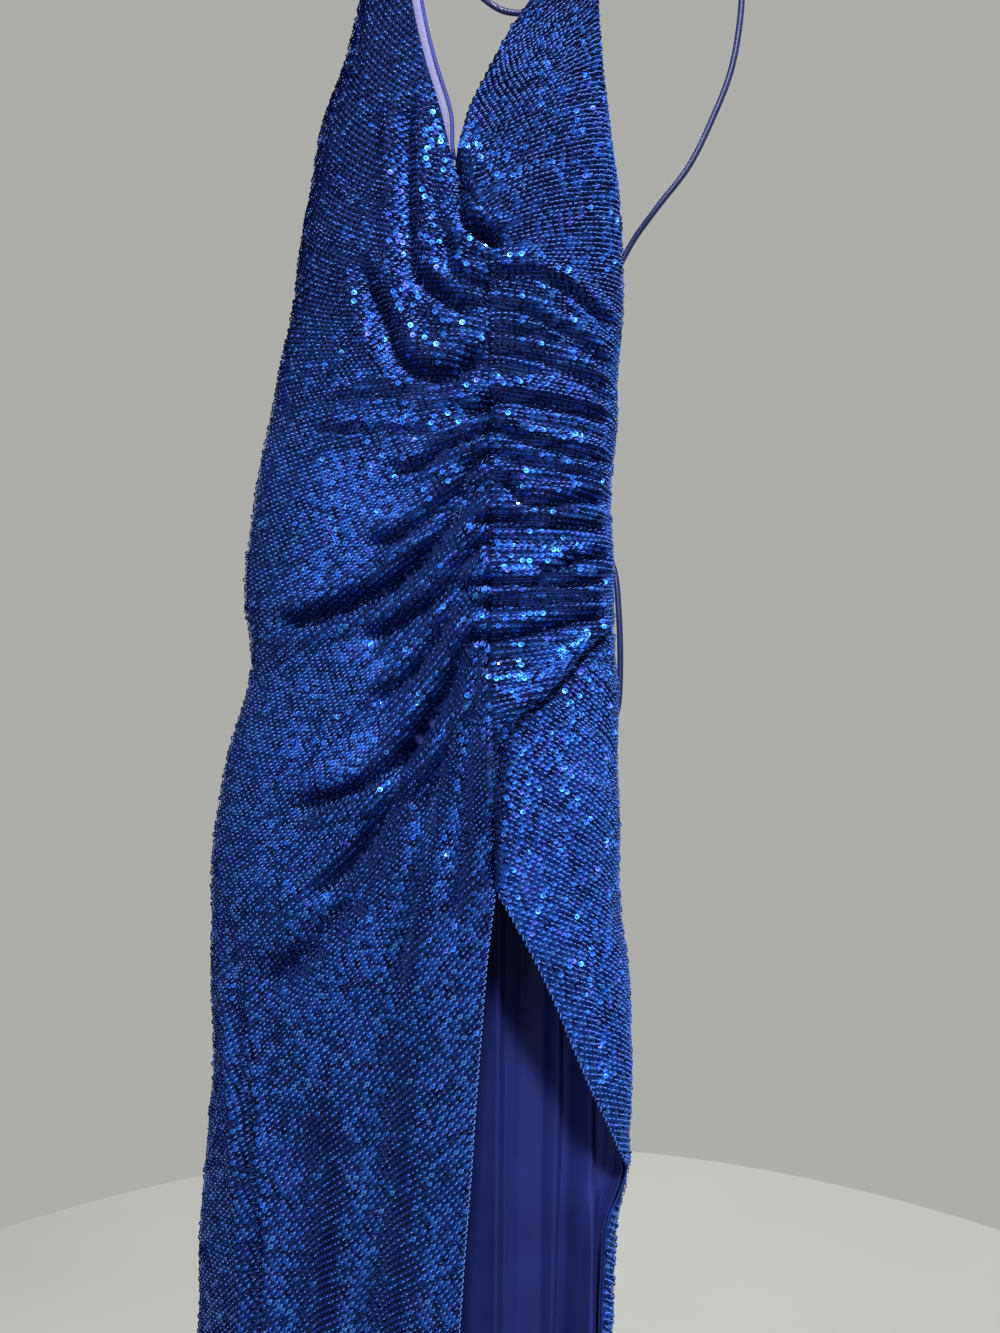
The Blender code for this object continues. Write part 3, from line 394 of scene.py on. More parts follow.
# Creases of the front: a line of (x, z) points from one end to the other, its depth and its half width.
# Those with a rise are steps, where the cloth on the line's left, looking along it, lies over the rest.
CREASES = (
    # the cowl below the neck
    (((-0.0569, -0.170), (-0.0569, -0.2385), (-0.0556, -0.2811), (-0.0512, -0.2925), (-0.0397, -0.3033),
      (-0.0251, -0.3129), (-0.0050, -0.3200)), 0.0055, 0.0062, 0),
    (((-0.0300, -0.262), (-0.0308, -0.2868), (-0.0251, -0.2944), (-0.0194, -0.2983), (0.0030, -0.3015)),
     0.0050, 0.0045, 0),
    (((-0.0240, -0.212), (-0.0226, -0.2493), (-0.0188, -0.2607), (-0.0050, -0.2700), (0.0080, -0.2740)),
     0.0085, 0.0052, 0),
    (((-0.0900, -0.280), (-0.0715, -0.3243), (-0.0665, -0.3409), (-0.0531, -0.3542), (-0.0378, -0.3568),
      (-0.0251, -0.3555), (-0.0188, -0.3510), (-0.0002, -0.3428)), 0.0065, 0.0072, 0),
    (((-0.0080, -0.2960), (0.0175, -0.2913), (0.0455, -0.2976), (0.0607, -0.3072), (0.0800, -0.3190)),
     0.0036, 0.0042, 0),
    (((-0.0060, -0.3180), (0.0105, -0.3135), (0.0366, -0.3224), (0.0607, -0.3332), (0.0800, -0.3450)),
     0.0038, 0.0040, 0),
    (((-0.0060, -0.3290), (0.0105, -0.3294), (0.0270, -0.3294), (0.0550, -0.3370), (0.0780, -0.3480)),
     0.0030, 0.0034, 0),
    (((-0.0060, -0.3428), (0.0150, -0.3440), (0.0460, -0.3504), (0.0780, -0.3600)), 0.0034, 0.0036, 0),
    (((-0.0060, -0.3549), (0.0290, -0.3535), (0.0544, -0.3580), (0.0780, -0.3690)), 0.0032, 0.0036, 0),
    (((-0.0232, -0.3873), (-0.0099, -0.3784), (0.0086, -0.3708), (0.0366, -0.3746), (0.0780, -0.3800)),
     0.0042, 0.0042, 0),
    # the gathers right of the seam
    (((-0.0060, -0.3890), (0.0111, -0.3937), (0.0366, -0.4013), (0.0658, -0.4057), (0.0800, -0.4064)),
     0.0044, 0.0042, 0),
    (((-0.0030, -0.4080), (0.0289, -0.4127), (0.0770, -0.4165)), 0.0028, 0.0036, 0),
    (((-0.0060, -0.4225), (0.0073, -0.4242), (0.0130, -0.4324), (0.0270, -0.4388), (0.0563, -0.4324),
      (0.0790, -0.4318)), 0.0052, 0.0042, 0),
    (((-0.0200, -0.4540), (-0.0003, -0.4483), (0.0353, -0.4509), (0.0790, -0.4496)), 0.0044, 0.0040, 0),
    (((0.0250, -0.4840), (0.0423, -0.4795), (0.0563, -0.4719), (0.0790, -0.4670)), 0.0042, 0.0038, 0),
    (((-0.0240, -0.4980), (-0.0124, -0.4910), (0.0073, -0.4890), (0.0366, -0.4910), (0.0790, -0.4845)),
     0.0048, 0.0038, 0),
    (((-0.0180, -0.5060), (0.0073, -0.5030), (0.0270, -0.5030), (0.0770, -0.4960)), 0.0036, 0.0034, 0),
    (((-0.0200, -0.5240), (-0.0003, -0.5259), (0.0270, -0.5202), (0.0563, -0.5126), (0.0790, -0.5100)),
     0.0050, 0.0042, 0),
    # the folds swept up to the seam from the left
    (((-0.1100, -0.3700), (-0.0600, -0.3690), (-0.0232, -0.3708)), 0.0026, 0.0036, 0),
    (((-0.1250, -0.3880), (-0.0800, -0.3920), (-0.0347, -0.3937)), 0.0026, 0.0036, 0),
    (((0.0020, -0.3860), (-0.0162, -0.3975), (-0.0315, -0.4032), (-0.0436, -0.4134), (-0.0700, -0.4200)),
     0.0046, 0.0042, 0),
    (((0.0020, -0.4060), (-0.0124, -0.4115), (-0.0200, -0.4248), (-0.0334, -0.4407), (-0.0512, -0.4560),
      (-0.0850, -0.4690)), 0.0055, 0.0052, 0),
    (((0.0000, -0.4180), (-0.0060, -0.4229), (-0.0200, -0.4388), (-0.0315, -0.4560), (-0.0436, -0.4719),
      (-0.0607, -0.4890), (-0.0900, -0.5030), (-0.1192, -0.5126), (-0.1500, -0.5190)), 0.0075, 0.0066, 0),
    (((0.0000, -0.4600), (-0.0124, -0.4681), (-0.0238, -0.4871), (-0.0391, -0.5030), (-0.0531, -0.5126),
      (-0.0850, -0.5300)), 0.0050, 0.0052, 0),
    (((-0.0080, -0.4830), (-0.0200, -0.4948), (-0.0315, -0.5183), (-0.0391, -0.5342), (-0.0512, -0.5476),
      (-0.0800, -0.5720)), 0.0052, 0.0054, 0),
    (((-0.0040, -0.5160), (-0.0124, -0.5240), (-0.0258, -0.5437), (-0.0315, -0.5609), (-0.0436, -0.5787),
      (-0.0512, -0.5921), (-0.0626, -0.6054), (-0.0855, -0.6213), (-0.1350, -0.6380)), 0.0064, 0.0064, 0),
    (((-0.0100, -0.5260), (-0.0238, -0.5552), (-0.0391, -0.5787), (-0.0550, -0.6004), (-0.0626, -0.6194),
      (-0.0702, -0.6391), (-0.0900, -0.6684), (-0.1200, -0.6980)), 0.0056, 0.0064, 0),
    (((-0.0400, -0.6080), (-0.0633, -0.6468), (-0.0798, -0.6697), (-0.0951, -0.6964), (-0.1103, -0.7155),
      (-0.1237, -0.7333), (-0.1600, -0.7600)), 0.0052, 0.0130, 0),
    (((-0.0080, -0.5300), (-0.0130, -0.5768), (-0.0156, -0.6150), (-0.0181, -0.6582), (-0.0270, -0.7150)),
     0.0044, 0.0042, 0),
    (((-0.0230, -0.5700), (-0.0372, -0.6277), (-0.0448, -0.6659), (-0.0537, -0.7104), (-0.0640, -0.7700)),
     0.0040, 0.0068, 0),
    (((-0.0003, -0.5800), (0.0000, -0.6391), (-0.0010, -0.6900)), 0.0040, 0.0038, 0),
    # soft falls of the skirt
    (((-0.1745, -0.7200), (-0.1701, -0.7733), (-0.1663, -0.8096), (-0.1625, -0.8382), (-0.1587, -0.8770),
      (-0.1549, -0.9343), (-0.1530, -1.1000), (-0.1500, -1.4400)), 0.0062, 0.0055, 0),
    (((-0.0600, -0.7300), (-0.0720, -0.9500), (-0.0800, -1.1500), (-0.0850, -1.4500)), 0.0045, 0.0160, 0),
    (((-0.1100, -0.8000), (-0.1180, -1.0500), (-0.1210, -1.4500)), 0.0045, 0.0160, 0),
    (((0.0350, -0.6100), (0.0520, -0.6900), (0.0700, -0.7700), (0.0760, -0.8400)), 0.0022, 0.0090, 0),
    # the last gather lies over the flap of the slit
    (((0.0000, -0.6500), (0.0035, -0.5966), (0.0073, -0.5865), (0.0188, -0.5730), (0.0308, -0.5654),
      (0.0423, -0.5533), (0.0563, -0.5360), (0.0716, -0.5220), (0.0860, -0.5120)), 0.0040, 0.0140, 0.0075),
)


CREASE_DEEPENING = 1.7
STEP_GROOVE = 0.0034
CREASE_LINES = [(smooth(line, 5), *rest) for line, *rest in CREASES]


def from_line(line, x, z):
    """How far points lie from a line across the front, on which side (1 is left), at what share of it."""
    step = np.diff(line, axis=0)
    length = np.hypot(*step.T)
    before = np.cumsum(length) - length
    right, up = x[..., None] - line[:-1, 0], z[..., None] - line[:-1, 1]
    t = np.clip((right * step[:, 0] + up * step[:, 1]) / length**2, 0, 1)
    away = np.hypot(right - t * step[:, 0], up - t * step[:, 1])
    nearest = away.argmin(-1)[..., None]
    side, share = np.sign(up * step[:, 0] - right * step[:, 1]), (before + t * length) / length.sum()
    return [np.take_along_axis(each, nearest, -1)[..., 0] for each in (away, side, share)]


def front_relief(x, z):
    """How far the cloth of the front stands out from the gown's smooth shape."""
    seam = along(CENTRE_SEAM, z)
    tight = np.exp(-(((x - seam) / 0.0045) ** 2)) * (z < V_BOTTOM - 0.01) * (z > SLIT_TOP)
    waves = np.sin(x * 61 + z * 23) * np.sin(z * 47 - x * 19 + 1.3)
    gathers = np.sin(z * 2 * math.pi / 0.0094 + 9 * x) * np.exp(-np.abs(x - seam) / 0.045)
    gathered = ease((-0.25 - z) / 0.04) * ease((z + 0.60) / 0.05)
    relief = 0.0016 * waves - 0.0022 * tight + 0.0008 * gathers * gathered
    for line, depth, width, rise in CREASE_LINES:
        (left, low), (right, high) = line.min(axis=0) - 4 * width, line.max(axis=0) + 4 * width
        near = (x > left) & (x < right) & (z > low) & (z < high)
        if not near.any():
            continue
        away, side, share = from_line(line, x[near], z[near])
        wide = STEP_GROOVE if rise else 0.88 * width
        groove = np.exp(-((away / wide) ** 2)) - 0.42 * np.exp(-(((away - 1.9 * wide) / (1.1 * wide)) ** 2))
        over = np.exp(-away / width) * np.where(side > 0, 1, -0.45) * ease(away / 0.0016 + (side > 0))
        fade = ease(share / 0.14) * ease((1 - share) / 0.14)
        relief[near] += fade * (rise * over - CREASE_DEEPENING * depth * groove)
    return relief


def shell_relief(flat, setback):
    """The relief of a front panel or, where set back, of its lining, which only follows it inwards."""
    relief = front_relief(flat[..., 0], flat[..., 2])
    return np.minimum(relief, 0) - 0.0020 if setback else relief


def front_left(share, height, out=0.0, setback=0.0):
    """The front left panel: share runs from the side seam to the inner edge."""
    inner = left_inner(height) - setback / 0.12
    angle = -SIDE + setback / 0.6 + (inner + SIDE - setback / 0.6) * share
    flat = on_gown(angle, height)
    hold = ease(share / 0.10)
    return on_gown(angle, height, out + hold * shell_relief(flat, setback))


def front_right(share, height, out=0.0, setback=0.0):
    """The front right panel: share runs from the inner edge to the side seam."""
    inner, outer = right_inner(height) + setback / 0.12, right_seam(height) - setback / 0.6
    angle = inner + (outer - inner) * share
    flat = on_gown(angle, height)
    hold = ease((1 - share) / 0.15) * ease((height - FLAP_CORNER) / 0.06)
    return on_gown(angle, height, out + hold * shell_relief(flat, setback))


def back_top(share):
    """The height of the open back's edge, from a side seam (0) to the centre back (1)."""
    return UNDERARM + (BACK_DIP - UNDERARM) * np.sin(np.clip(share, 0, 1) * SIDE) ** 0.85


def back_panel(side):
    """A back panel as a function of share, from the side seam to the centre back, and height."""
    zip_end = BACK_DIP - ZIP_LENGTH
    opening = ((BACK_DIP, ZIP_MOUTH), (zip_end, ZIP_MOUTH), (zip_end - 0.012, SEAM_GAP), (HEM, SEAM_GAP))

    def surface(share, height, out=0.0, setback=0.0):
        seam = right_seam(height) if side > 0 else 2 * math.pi - SIDE + 0 * height
        seam = seam + side * setback / 0.6
        middle = ZIP_X + side * (along(opening, height) / 2 + setback)
        centre_back = math.pi - front_angle(middle, height)
        angle = seam + (centre_back - seam) * share
        # The shell hangs from the lacing in long soft falls that open towards the hem.
        hold = ease(share / 0.12) * ease((1 - share) / 0.12)
        fall = 0.0012 + 0.0034 * ease((-0.55 - height) / 0.7)
        waves = np.sin(share * 13 + side + 1.5 * np.sin(height * 5)) + 0.5 * np.sin(share * 7 - height * 9)
        return on_gown(angle, height, out + hold * fall * waves)

    return surface


back_left, back_right = back_panel(-1), back_panel(1)

ROW_PITCH = 0.0037  # between the rows of chain stitch
# How the rows lie: (height at the panel's first edge, height at its second edge, bend). With a bend over 0
# a row leaves the first edge level and meets the second steeply; under 0 it is the other way round.
LEFT_ROWS = ((0.120, -0.010, 0.5), (0.040, -0.080, 0.4), (-0.050, -0.150, 0.2), (-0.120, -0.225, 0.0),
             (-0.180, -0.275, -0.4), (-0.240, -0.310, -0.5), (-0.300, -0.335, -0.3), (-0.370, -0.362, 0.2),
             (-0.430, -0.383, 0.7), (-0.500, -0.408, 0.9), (-0.580, -0.440, 0.9), (-0.660, -0.480, 0.9),
             (-0.740, -0.525, 0.8), (-0.840, -0.605, 0.6), (-0.950, -0.725, 0.4), (-1.050, -0.860, 0.25),
             (-1.200, -1.025, 0.2), (-1.450, -1.285, 0.2), (-1.700, -1.540, 0.2))
RIGHT_ROWS = ((-0.030, 0.120, -0.3), (-0.090, 0.030, -0.7), (-0.150, -0.050, -0.85), (-0.200, -0.130, -0.85),
              (-0.245, -0.190, -0.8), (-0.275, -0.245, -0.7), (-0.300, -0.305, 0.2), (-0.325, -0.345, 0.3),
              (-0.355, -0.375, 0.2), (-0.395, -0.408, 0.2), (-0.425, -0.434, 0.0), (-0.450, -0.452, 0.0),
              (-0.490, -0.484, 0.1), (-0.524, -0.510, 0.3), (-0.660, -0.530, 0.0))
FLAP_ROWS = ((-0.300, -0.390, 0.0), (-0.400, -0.490, 0.0), (-0.550, -0.640, 0.0), (-0.684, -0.776, 0.0),
             (-0.767, -0.819, 0.0), (-0.845, -0.872, 0.0), (-0.900, -0.928, 0.0), (-1.200, -1.232, 0.0),
             (-1.470, -1.502, 0.0))
BACK_ROWS = ((-0.200, -0.490, 0.0), (-0.256, -0.520, 0.0), (-0.400, -0.585, 0.0), (-0.600, -0.690, 0.0),
             (-0.900, -0.930, 0.0), (-1.460, -1.480, 0.0))


def row_height(rows, step, share):
    """The height of a row at a share of the panel's width. step counts along the rows' table."""
    first, second, bend = (np.interp(step, range(len(rows)), column) for column in zip(*rows))
    return first + (second - first) * ((1 - bend) * share + bend * share**2)


def count_rows(rows, surface):
    """Steps along the rows' table, and the number of chain-stitch rows down to each."""
    steps = np.linspace(0, len(rows) - 1, 12 * (len(rows) - 1) + 1)
    shares = np.array([0.05, 0.2, 0.35, 0.5, 0.65, 0.8, 0.95]) + 0 * steps[:, None]
    places, beside = (surface(s, row_height(rows, steps[:, None], s)) for s in (shares, shares + 0.01))
    run = (beside - places)[:-1]
    run /= np.linalg.norm(run, axis=-1, keepdims=True)
    move = np.diff(places, axis=0)
    move -= run * (move * run).sum(-1, keepdims=True)
    return steps, np.concatenate(([0], np.cumsum(np.linalg.norm(move, axis=-1).max(axis=1)))) / ROW_PITCH


def cloth(name, columns, down, surface, top, thickness, material, slot, rows=None):
    """A thin closed sheet over a surface, from its top to the hem, with its UV along and across its rows."""
    grid = bmesh.new()
    bmesh.ops.create_grid(grid, x_segments=columns, y_segments=down, size=0.5)
    shares = np.array([vertex.co.x + 0.5 for vertex in grid.verts])
    falls = np.array([0.5 - vertex.co.y for vertex in grid.verts])
    tops = top(shares)
    heights = tops + (HEM - tops) * falls
    for vertex, place in zip(grid.verts, surface(shares, heights)):
        vertex.co = place
    if rows is None:
        across = heights / 0.001
    else:
        steps, numbers = count_rows(rows, surface)
        across = np.empty(len(shares))
        for share in np.unique(shares):
            here = shares == share
            across[here] = np.interp(-heights[here], -row_height(rows, steps, share), numbers)
    layer = grid.loops.layers.uv.new("rows")
    for face in grid.faces:
        for loop in face.loops:
            index = loop.vert.index
            loop[layer].uv = (shares[index] * 0.16 / 0.0042, across[index])
    bmesh.ops.recalc_face_normals(grid, faces=grid.faces)
    middle = min(grid.faces, key=lambda face: (face.calc_center_median().z + 0.8) ** 2)
    if middle.normal.y * middle.calc_center_median().y < 0:
        bmesh.ops.reverse_faces(grid, faces=grid.faces)
    piece = show(name, finish_mesh(name, grid), material, cad_nodes=[name], slot=slot)
    wall = piece.modifiers.new("thickness", "SOLIDIFY")
    wall.thickness = thickness
    wall.offset = -1
    return piece


# Polyester power mesh under the sequins: dark, matt, ribbed once for each row of stitches. Its colour follows
# the ribs and is near black in the grooves along the rows under the sequins: painted shade.
ground_knit = new_material("polyester_stretch_mesh", "#0a1a5c", 0.8, Specular_IOR_Level=0.08)
rows_uv = add_node(ground_knit, "ShaderNodeUVMap", uv_map="rows").outputs[0]
across = add_node(ground_knit, "ShaderNodeSeparateXYZ", {0: rows_uv}).outputs["Y"]
ridge = add_node(ground_knit, "ShaderNodeMath", {0: across, 1: 0.5}, operation="PINGPONG").outputs[0]
loops = add_node(ground_knit, "ShaderNodeTexNoise",
                 {"Vector": rows_uv, "Scale": 3.0, "Detail": 2.0}).outputs["Fac"]
height = add_node(ground_knit, "ShaderNodeMath",
                  {0: loops, 1: 0.5, 2: ridge}, operation="MULTIPLY_ADD").outputs[0]
# Painted shade: the ramp darkens the knit towards the bottom of each rib groove.
add_node(ground_knit, "ShaderNodeValToRGB", {0: height},
         ((0.25, "#02071f"), (0.55, "#081646"), (0.85, "#0f2a6c")), "Base Color")
add_node(ground_knit, "ShaderNodeBump",
         {"Height": height, "Strength": 0.8, "Distance": 0.0008}, feeds="Normal")


def left_top(share):
    return LEFT_APEX + 0 * share


def right_top(share):
    return RIGHT_APEX + 0 * share


# Each panel's surface, its top edge, its rows, and its faces across and down.
PANELS = {
    "front_left_panel": (front_left, left_top, LEFT_ROWS, (44, 300)),
    "front_right_panel": (front_right, right_top, RIGHT_ROWS, (30, 300)),
    "back_left_panel": (back_left, back_top, BACK_ROWS, (40, 170)),
    "back_right_panel": (back_right, back_top, BACK_ROWS, (40, 170)),
}
panels = {
    name: cloth(name, *size, surface, top, 0.0010, ground_knit, "sequin_knit", rows)
    for name, (surface, top, rows, size) in PANELS.items()
}

# --- Sequins ---
# Flat 3.6 mm rings punched from metallised polyester film, each held by a pale thread from its hole to the
# row. They lie like shingles along their row, and each has its own tilt, so that only a few flash at once.
RING_RADIUS, HOLE_RADIUS, CUP_RISE = 0.00182, 0.00078, 0.00010
SEQUIN_SPACING = 0.0041
THREAD_LENGTH, THREAD_WIDTH = 0.0024, 0.00052  # drawn about twice as wide as real thread, so it shows
SHINGLE_TILT, WOBBLE = math.radians(12), math.radians(7)
EDGE_TILT, EDGE_ROLL = math.radians(34), math.radians(20)  # of the rings that stand on edge
RIGHT_DROOP, RIGHT_PAINTED_SHADE = math.radians(16), 0.45  # the right bodice's rings hang forward, and many get the near-black tone: painted shade
# The index of the near-black film tone, used as painted shade.
PAINTED_SHADE_TONE = 4
LIFT, LIFT_SPREAD = 0.0006, 0.0005  # how far a ring's middle stands off the knit
chance = np.random.default_rng(11)

# The film is dyed one royal blue; its six tones are lit and shaded copies of that blue, painted light and
# shade: deeper, brighter and violet-blue ones, a near-black one for shade, and a pale low-roughness one that
# is partly a painted glint.
FILM_LIT_SHADED_TONES = (("#10368c", 0.44), ("#2059c4", 0.40), ("#2f6cd8", 0.36), ("#2c389e", 0.42), ("#07143e", 0.50),
              ("#3f8cf0", 0.07))
# The share of each tone among the rings that lie flat, and among those that stand on edge; the edge rings
# take far more of the near-black tone, painted shade.
FLAT_LIT_TONES, EDGE_SHADED_TONES = (0.30, 0.36, 0.13, 0.11, 0.06, 0.04), (0.40, 0.10, 0.02, 0.10, 0.37, 0.01)
films = [new_material(f"metallised_film_lit_shaded_{number}", colour, roughness, 1.0)
         for number, (colour, roughness) in enumerate(FILM_LIT_SHADED_TONES, 1)]
thread = new_material("polyester_sewing_thread", "#4a70c4", 0.6, Specular_IOR_Level=0.2)
THREAD_SLOT = len(films)

ring = bmesh.new()
outer = bmesh.ops.create_circle(ring, segments=8, radius=RING_RADIUS)["verts"]
rim = [edge for edge in ring.edges]
drawn = bmesh.ops.extrude_edge_only(ring, edges=rim)["geom"]
hole = [part for part in drawn if isinstance(part, bmesh.types.BMVert)]
bmesh.ops.scale(ring, vec=(HOLE_RADIUS / RING_RADIUS,) * 3, verts=hole)
bmesh.ops.translate(ring, vec=(0, 0, -CUP_RISE), verts=hole)
bmesh.ops.recalc_face_normals(ring, faces=ring.faces)
for face in ring.faces:
    if face.normal.z < 0:
        face.normal_flip()
stitch = bmesh.ops.create_grid(ring, x_segments=2, y_segments=1, size=0.5)["verts"]
bmesh.ops.scale(ring, vec=(THREAD_LENGTH, THREAD_WIDTH, 1), verts=stitch)
bmesh.ops.translate(ring, vec=(THREAD_LENGTH / 2, 0, 0.00030), verts=stitch)
for vertex in stitch:
    if abs(vertex.co.x - THREAD_LENGTH / 2) > 0.001:
        vertex.co.z = -0.00015
ring.verts.index_update()
ring.faces.index_update()
RING_POINTS = np.array([vertex.co for vertex in ring.verts])
RING_FACES = np.array([[vertex.index for vertex in face.verts] for face in ring.faces])
STITCH_FACES = np.array([all(vertex in stitch for vertex in face.verts) for face in ring.faces])
ring.free()


def unit(vectors):
    return vectors / np.linalg.norm(vectors, axis=-1, keepdims=True)


def lies_flat(x, z):
    """The share of rings that lie face up: few where the bodice is stretched, most on hip and skirt. The
    others are tilted on edge and take the darker edge tones, painted shade on the bodice.
    """
    left_bodice = ease((-0.015 - x) / 0.03) * ease((z + 0.42) / 0.10)
    right_bodice = ease((x + 0.03) / 0.03) * ease((z + 0.30) / 0.12)
    return 0.82 - 0.50 * left_bodice - 0.74 * right_bodice


def sew_rows(surface, top, rows, wanted):
    """Where a panel's sequins go: middles, directions along the row, across it and out, how far sunk."""
    steps, numbers = count_rows(rows, surface)
    shares, heights, beyond = [], [], []
    for number in range(int(numbers[-1])):
        step = np.interp(number + 0.5, numbers, steps)
        share = np.linspace(0.003, 0.997, 240)
        height = row_height(rows, step, share)
        inside = (height < top(share) - 0.001) & (height > HEM + 0.001)
        if inside.sum() < 3:
            continue
        share, height = share[inside], height[inside]
        step_along = np.diff(surface(share, height), axis=0)
        run = np.linalg.norm(step_along, axis=-1)
        length = np.concatenate(([0], np.cumsum(run)))
        # Where rows crowd together, every second one stops, or three of four.
        next_row = row_height(rows, np.interp(number + 1.5, numbers, steps), share)
        slant = np.linalg.norm(step_along[:, :2], axis=-1) / run
        apart = np.abs(next_row - height) * np.concatenate((slant, slant[-1:]))
        crowding = np.exp2(np.floor(np.log2(ROW_PITCH / np.clip(apart, ROW_PITCH / 9, ROW_PITCH)) + 0.15))
        first = SEQUIN_SPACING * (0.25 + 0.5 * (number % 2))
        at = np.arange(first, length[-1] - 0.001, SEQUIN_SPACING)
        at += chance.uniform(-0.0004, 0.0004, len(at))
        at = at[number % np.interp(at, length, crowding).round() < 0.5]
        shares.append(np.interp(at, length, share))
        heights.append(np.interp(at, length, height))
        beyond.append(np.column_stack([np.interp(at + 0.001, length, column) for column in (share, height)]))
    share, height, beyond = np.concatenate(shares), np.concatenate(heights), np.concatenate(beyond)
    middle = surface(share, height)
    keep = wanted(middle[:, 0], middle[:, 2])
    share, height, beyond, middle = share[keep], height[keep], beyond[keep], middle[keep]
    forward = unit(surface(beyond[:, 0], beyond[:, 1]) - middle + 1e-9)
    below = surface(share, height - 0.0015) - middle
    side_step = surface(share + 0.004, height) - surface(share - 0.004, height)
    outward = unit(np.cross(below, side_step))
    smooth_out = surface(share, height, 0.001) - middle
    outward *= np.sign((outward * smooth_out).sum(-1, keepdims=True))
    forward = unit(forward - outward * (forward * outward).sum(-1, keepdims=True))
    # Rings deep in a crease are set on edge more often, which tilts them and also gives them the darker edge
    # tones: painted shade in the creases.
    sunk = ease(-front_relief(middle[:, 0], middle[:, 2]) / 0.005) * (middle[:, 1] < 0)
    return middle, forward, np.cross(outward, forward), outward, sunk


def sequins(name, middle, forward, sideways, outward, sunk):
    """One piece of many sequins, each a copy of the ring, tilted and set on its place on the cloth."""
    count = len(middle)
    # Painted shade: rings in creases and on the bodice stand on edge more often and so take the darker edge
    # tones.
    flat = chance.random(count) < lies_flat(middle[:, 0], middle[:, 2]) * (1 - 0.75 * sunk)
    lean = SHINGLE_TILT + chance.normal(0, WOBBLE, count) + np.where(flat, 0, EDGE_TILT)
    droops = ease((middle[:, 0] + 0.03) / 0.03) * ease((middle[:, 2] + 0.46) / 0.12) * (middle[:, 1] < 0)
    roll = chance.normal(0, WOBBLE, count) + np.where(flat, 0, chance.normal(0, EDGE_ROLL, count))
    roll -= RIGHT_DROOP * droops
    normal = unit(outward + np.tan(lean)[:, None] * -forward + np.tan(roll)[:, None] * sideways)
    axis = unit(forward - normal * (forward * normal).sum(-1, keepdims=True))
    cross = np.cross(normal, axis)
    lift = LIFT + chance.uniform(0, LIFT_SPREAD, count)
    centre = middle + outward * lift[:, None]
    points = (centre[:, None] + axis[:, None] * RING_POINTS[:, :1] + cross[:, None] * RING_POINTS[:, 1:2]
              + normal[:, None] * RING_POINTS[:, 2:])
    faces = RING_FACES + len(RING_POINTS) * np.arange(count)[:, None, None]
    data = bpy.data.meshes.new(name)
    data.from_pydata(points.reshape(-1, 3), [], faces.reshape(-1, 4).tolist())
    tone = np.where(flat, chance.choice(len(films), count, p=FLAT_LIT_TONES),
                    chance.choice(len(films), count, p=EDGE_SHADED_TONES))
    # Painted shade: many drooping rings of the right bodice take the near-black tone at random.
    tone = np.where(chance.random(count) < RIGHT_PAINTED_SHADE * droops, PAINTED_SHADE_TONE, tone)
    slots = np.where(STITCH_FACES, THREAD_SLOT, tone[:, None])
    piece = show(name, data, *films, thread, slot="sequin_knit")
    data.polygons.foreach_set("material_index", slots.ravel().astype(np.int32))
    return piece


def everywhere(x, z):
    return np.ones(len(x), bool)


def above_flap(x, z):
    """Whether points lie above the last gather, on the cloth that covers the flap."""
    _, side, _ = from_line(CREASE_LINES[-1][0], x, z)
    return ((side > 0) | (z > -0.50)) & (z > -0.68)


def on_flap(x, z):
    return ~above_flap(x, z)


MOST_SEQUINS = 9000  # in one piece
SEWN = (("front_left", "front_left_panel", LEFT_ROWS, everywhere),
        ("front_right", "front_right_panel", RIGHT_ROWS, above_flap),
        ("flap", "front_right_panel", FLAP_ROWS, on_flap),
        ("back_left", "back_left_panel", BACK_ROWS, everywhere),
        ("back_right", "back_right_panel", BACK_ROWS, everywhere))
sewn_on = {name: [] for name in PANELS}
for name, panel, rows, wanted in SEWN:
    surface, top = PANELS[panel][:2]
    places = sew_rows(surface, top, rows, wanted)
    pieces = math.ceil(len(places[0]) / MOST_SEQUINS)
    for number, share in enumerate(zip(*(np.array_split(column, pieces) for column in places)), 1):
        sewn_on[panel].append(sequins(f"sequins_{name}_{number}", *share))

# --- Bindings and edge threads ---
# A narrow bias strip is rolled round each neckline, armhole and the open back; the slit's edges are
# overcast with a pale twisted thread.
BINDING_RADIUS = 0.0014


def edge_line(surface, edge, inner, heights, distance):
    """A line beside a panel's edge, in its own surface: edge is the edge's share, inner one inside it."""
    at, inside = (surface(np.full(len(heights), share), heights) for share in (edge, inner))
    run = unit(np.gradient(at, axis=0))
    outward = at - inside
    outward -= run * (outward * run).sum(-1, keepdims=True)
    return at + unit(outward) * distance


def back_line(surface, distance):
    shares = np.linspace(0.01, 0.99, 80)
    at, inside = surface(shares, back_top(shares)), surface(shares, back_top(shares) - 0.01)
    run = unit(np.gradient(at, axis=0))
    outward = at - inside
    outward -= run * (outward * run).sum(-1, keepdims=True)
    return at + unit(outward) * distance


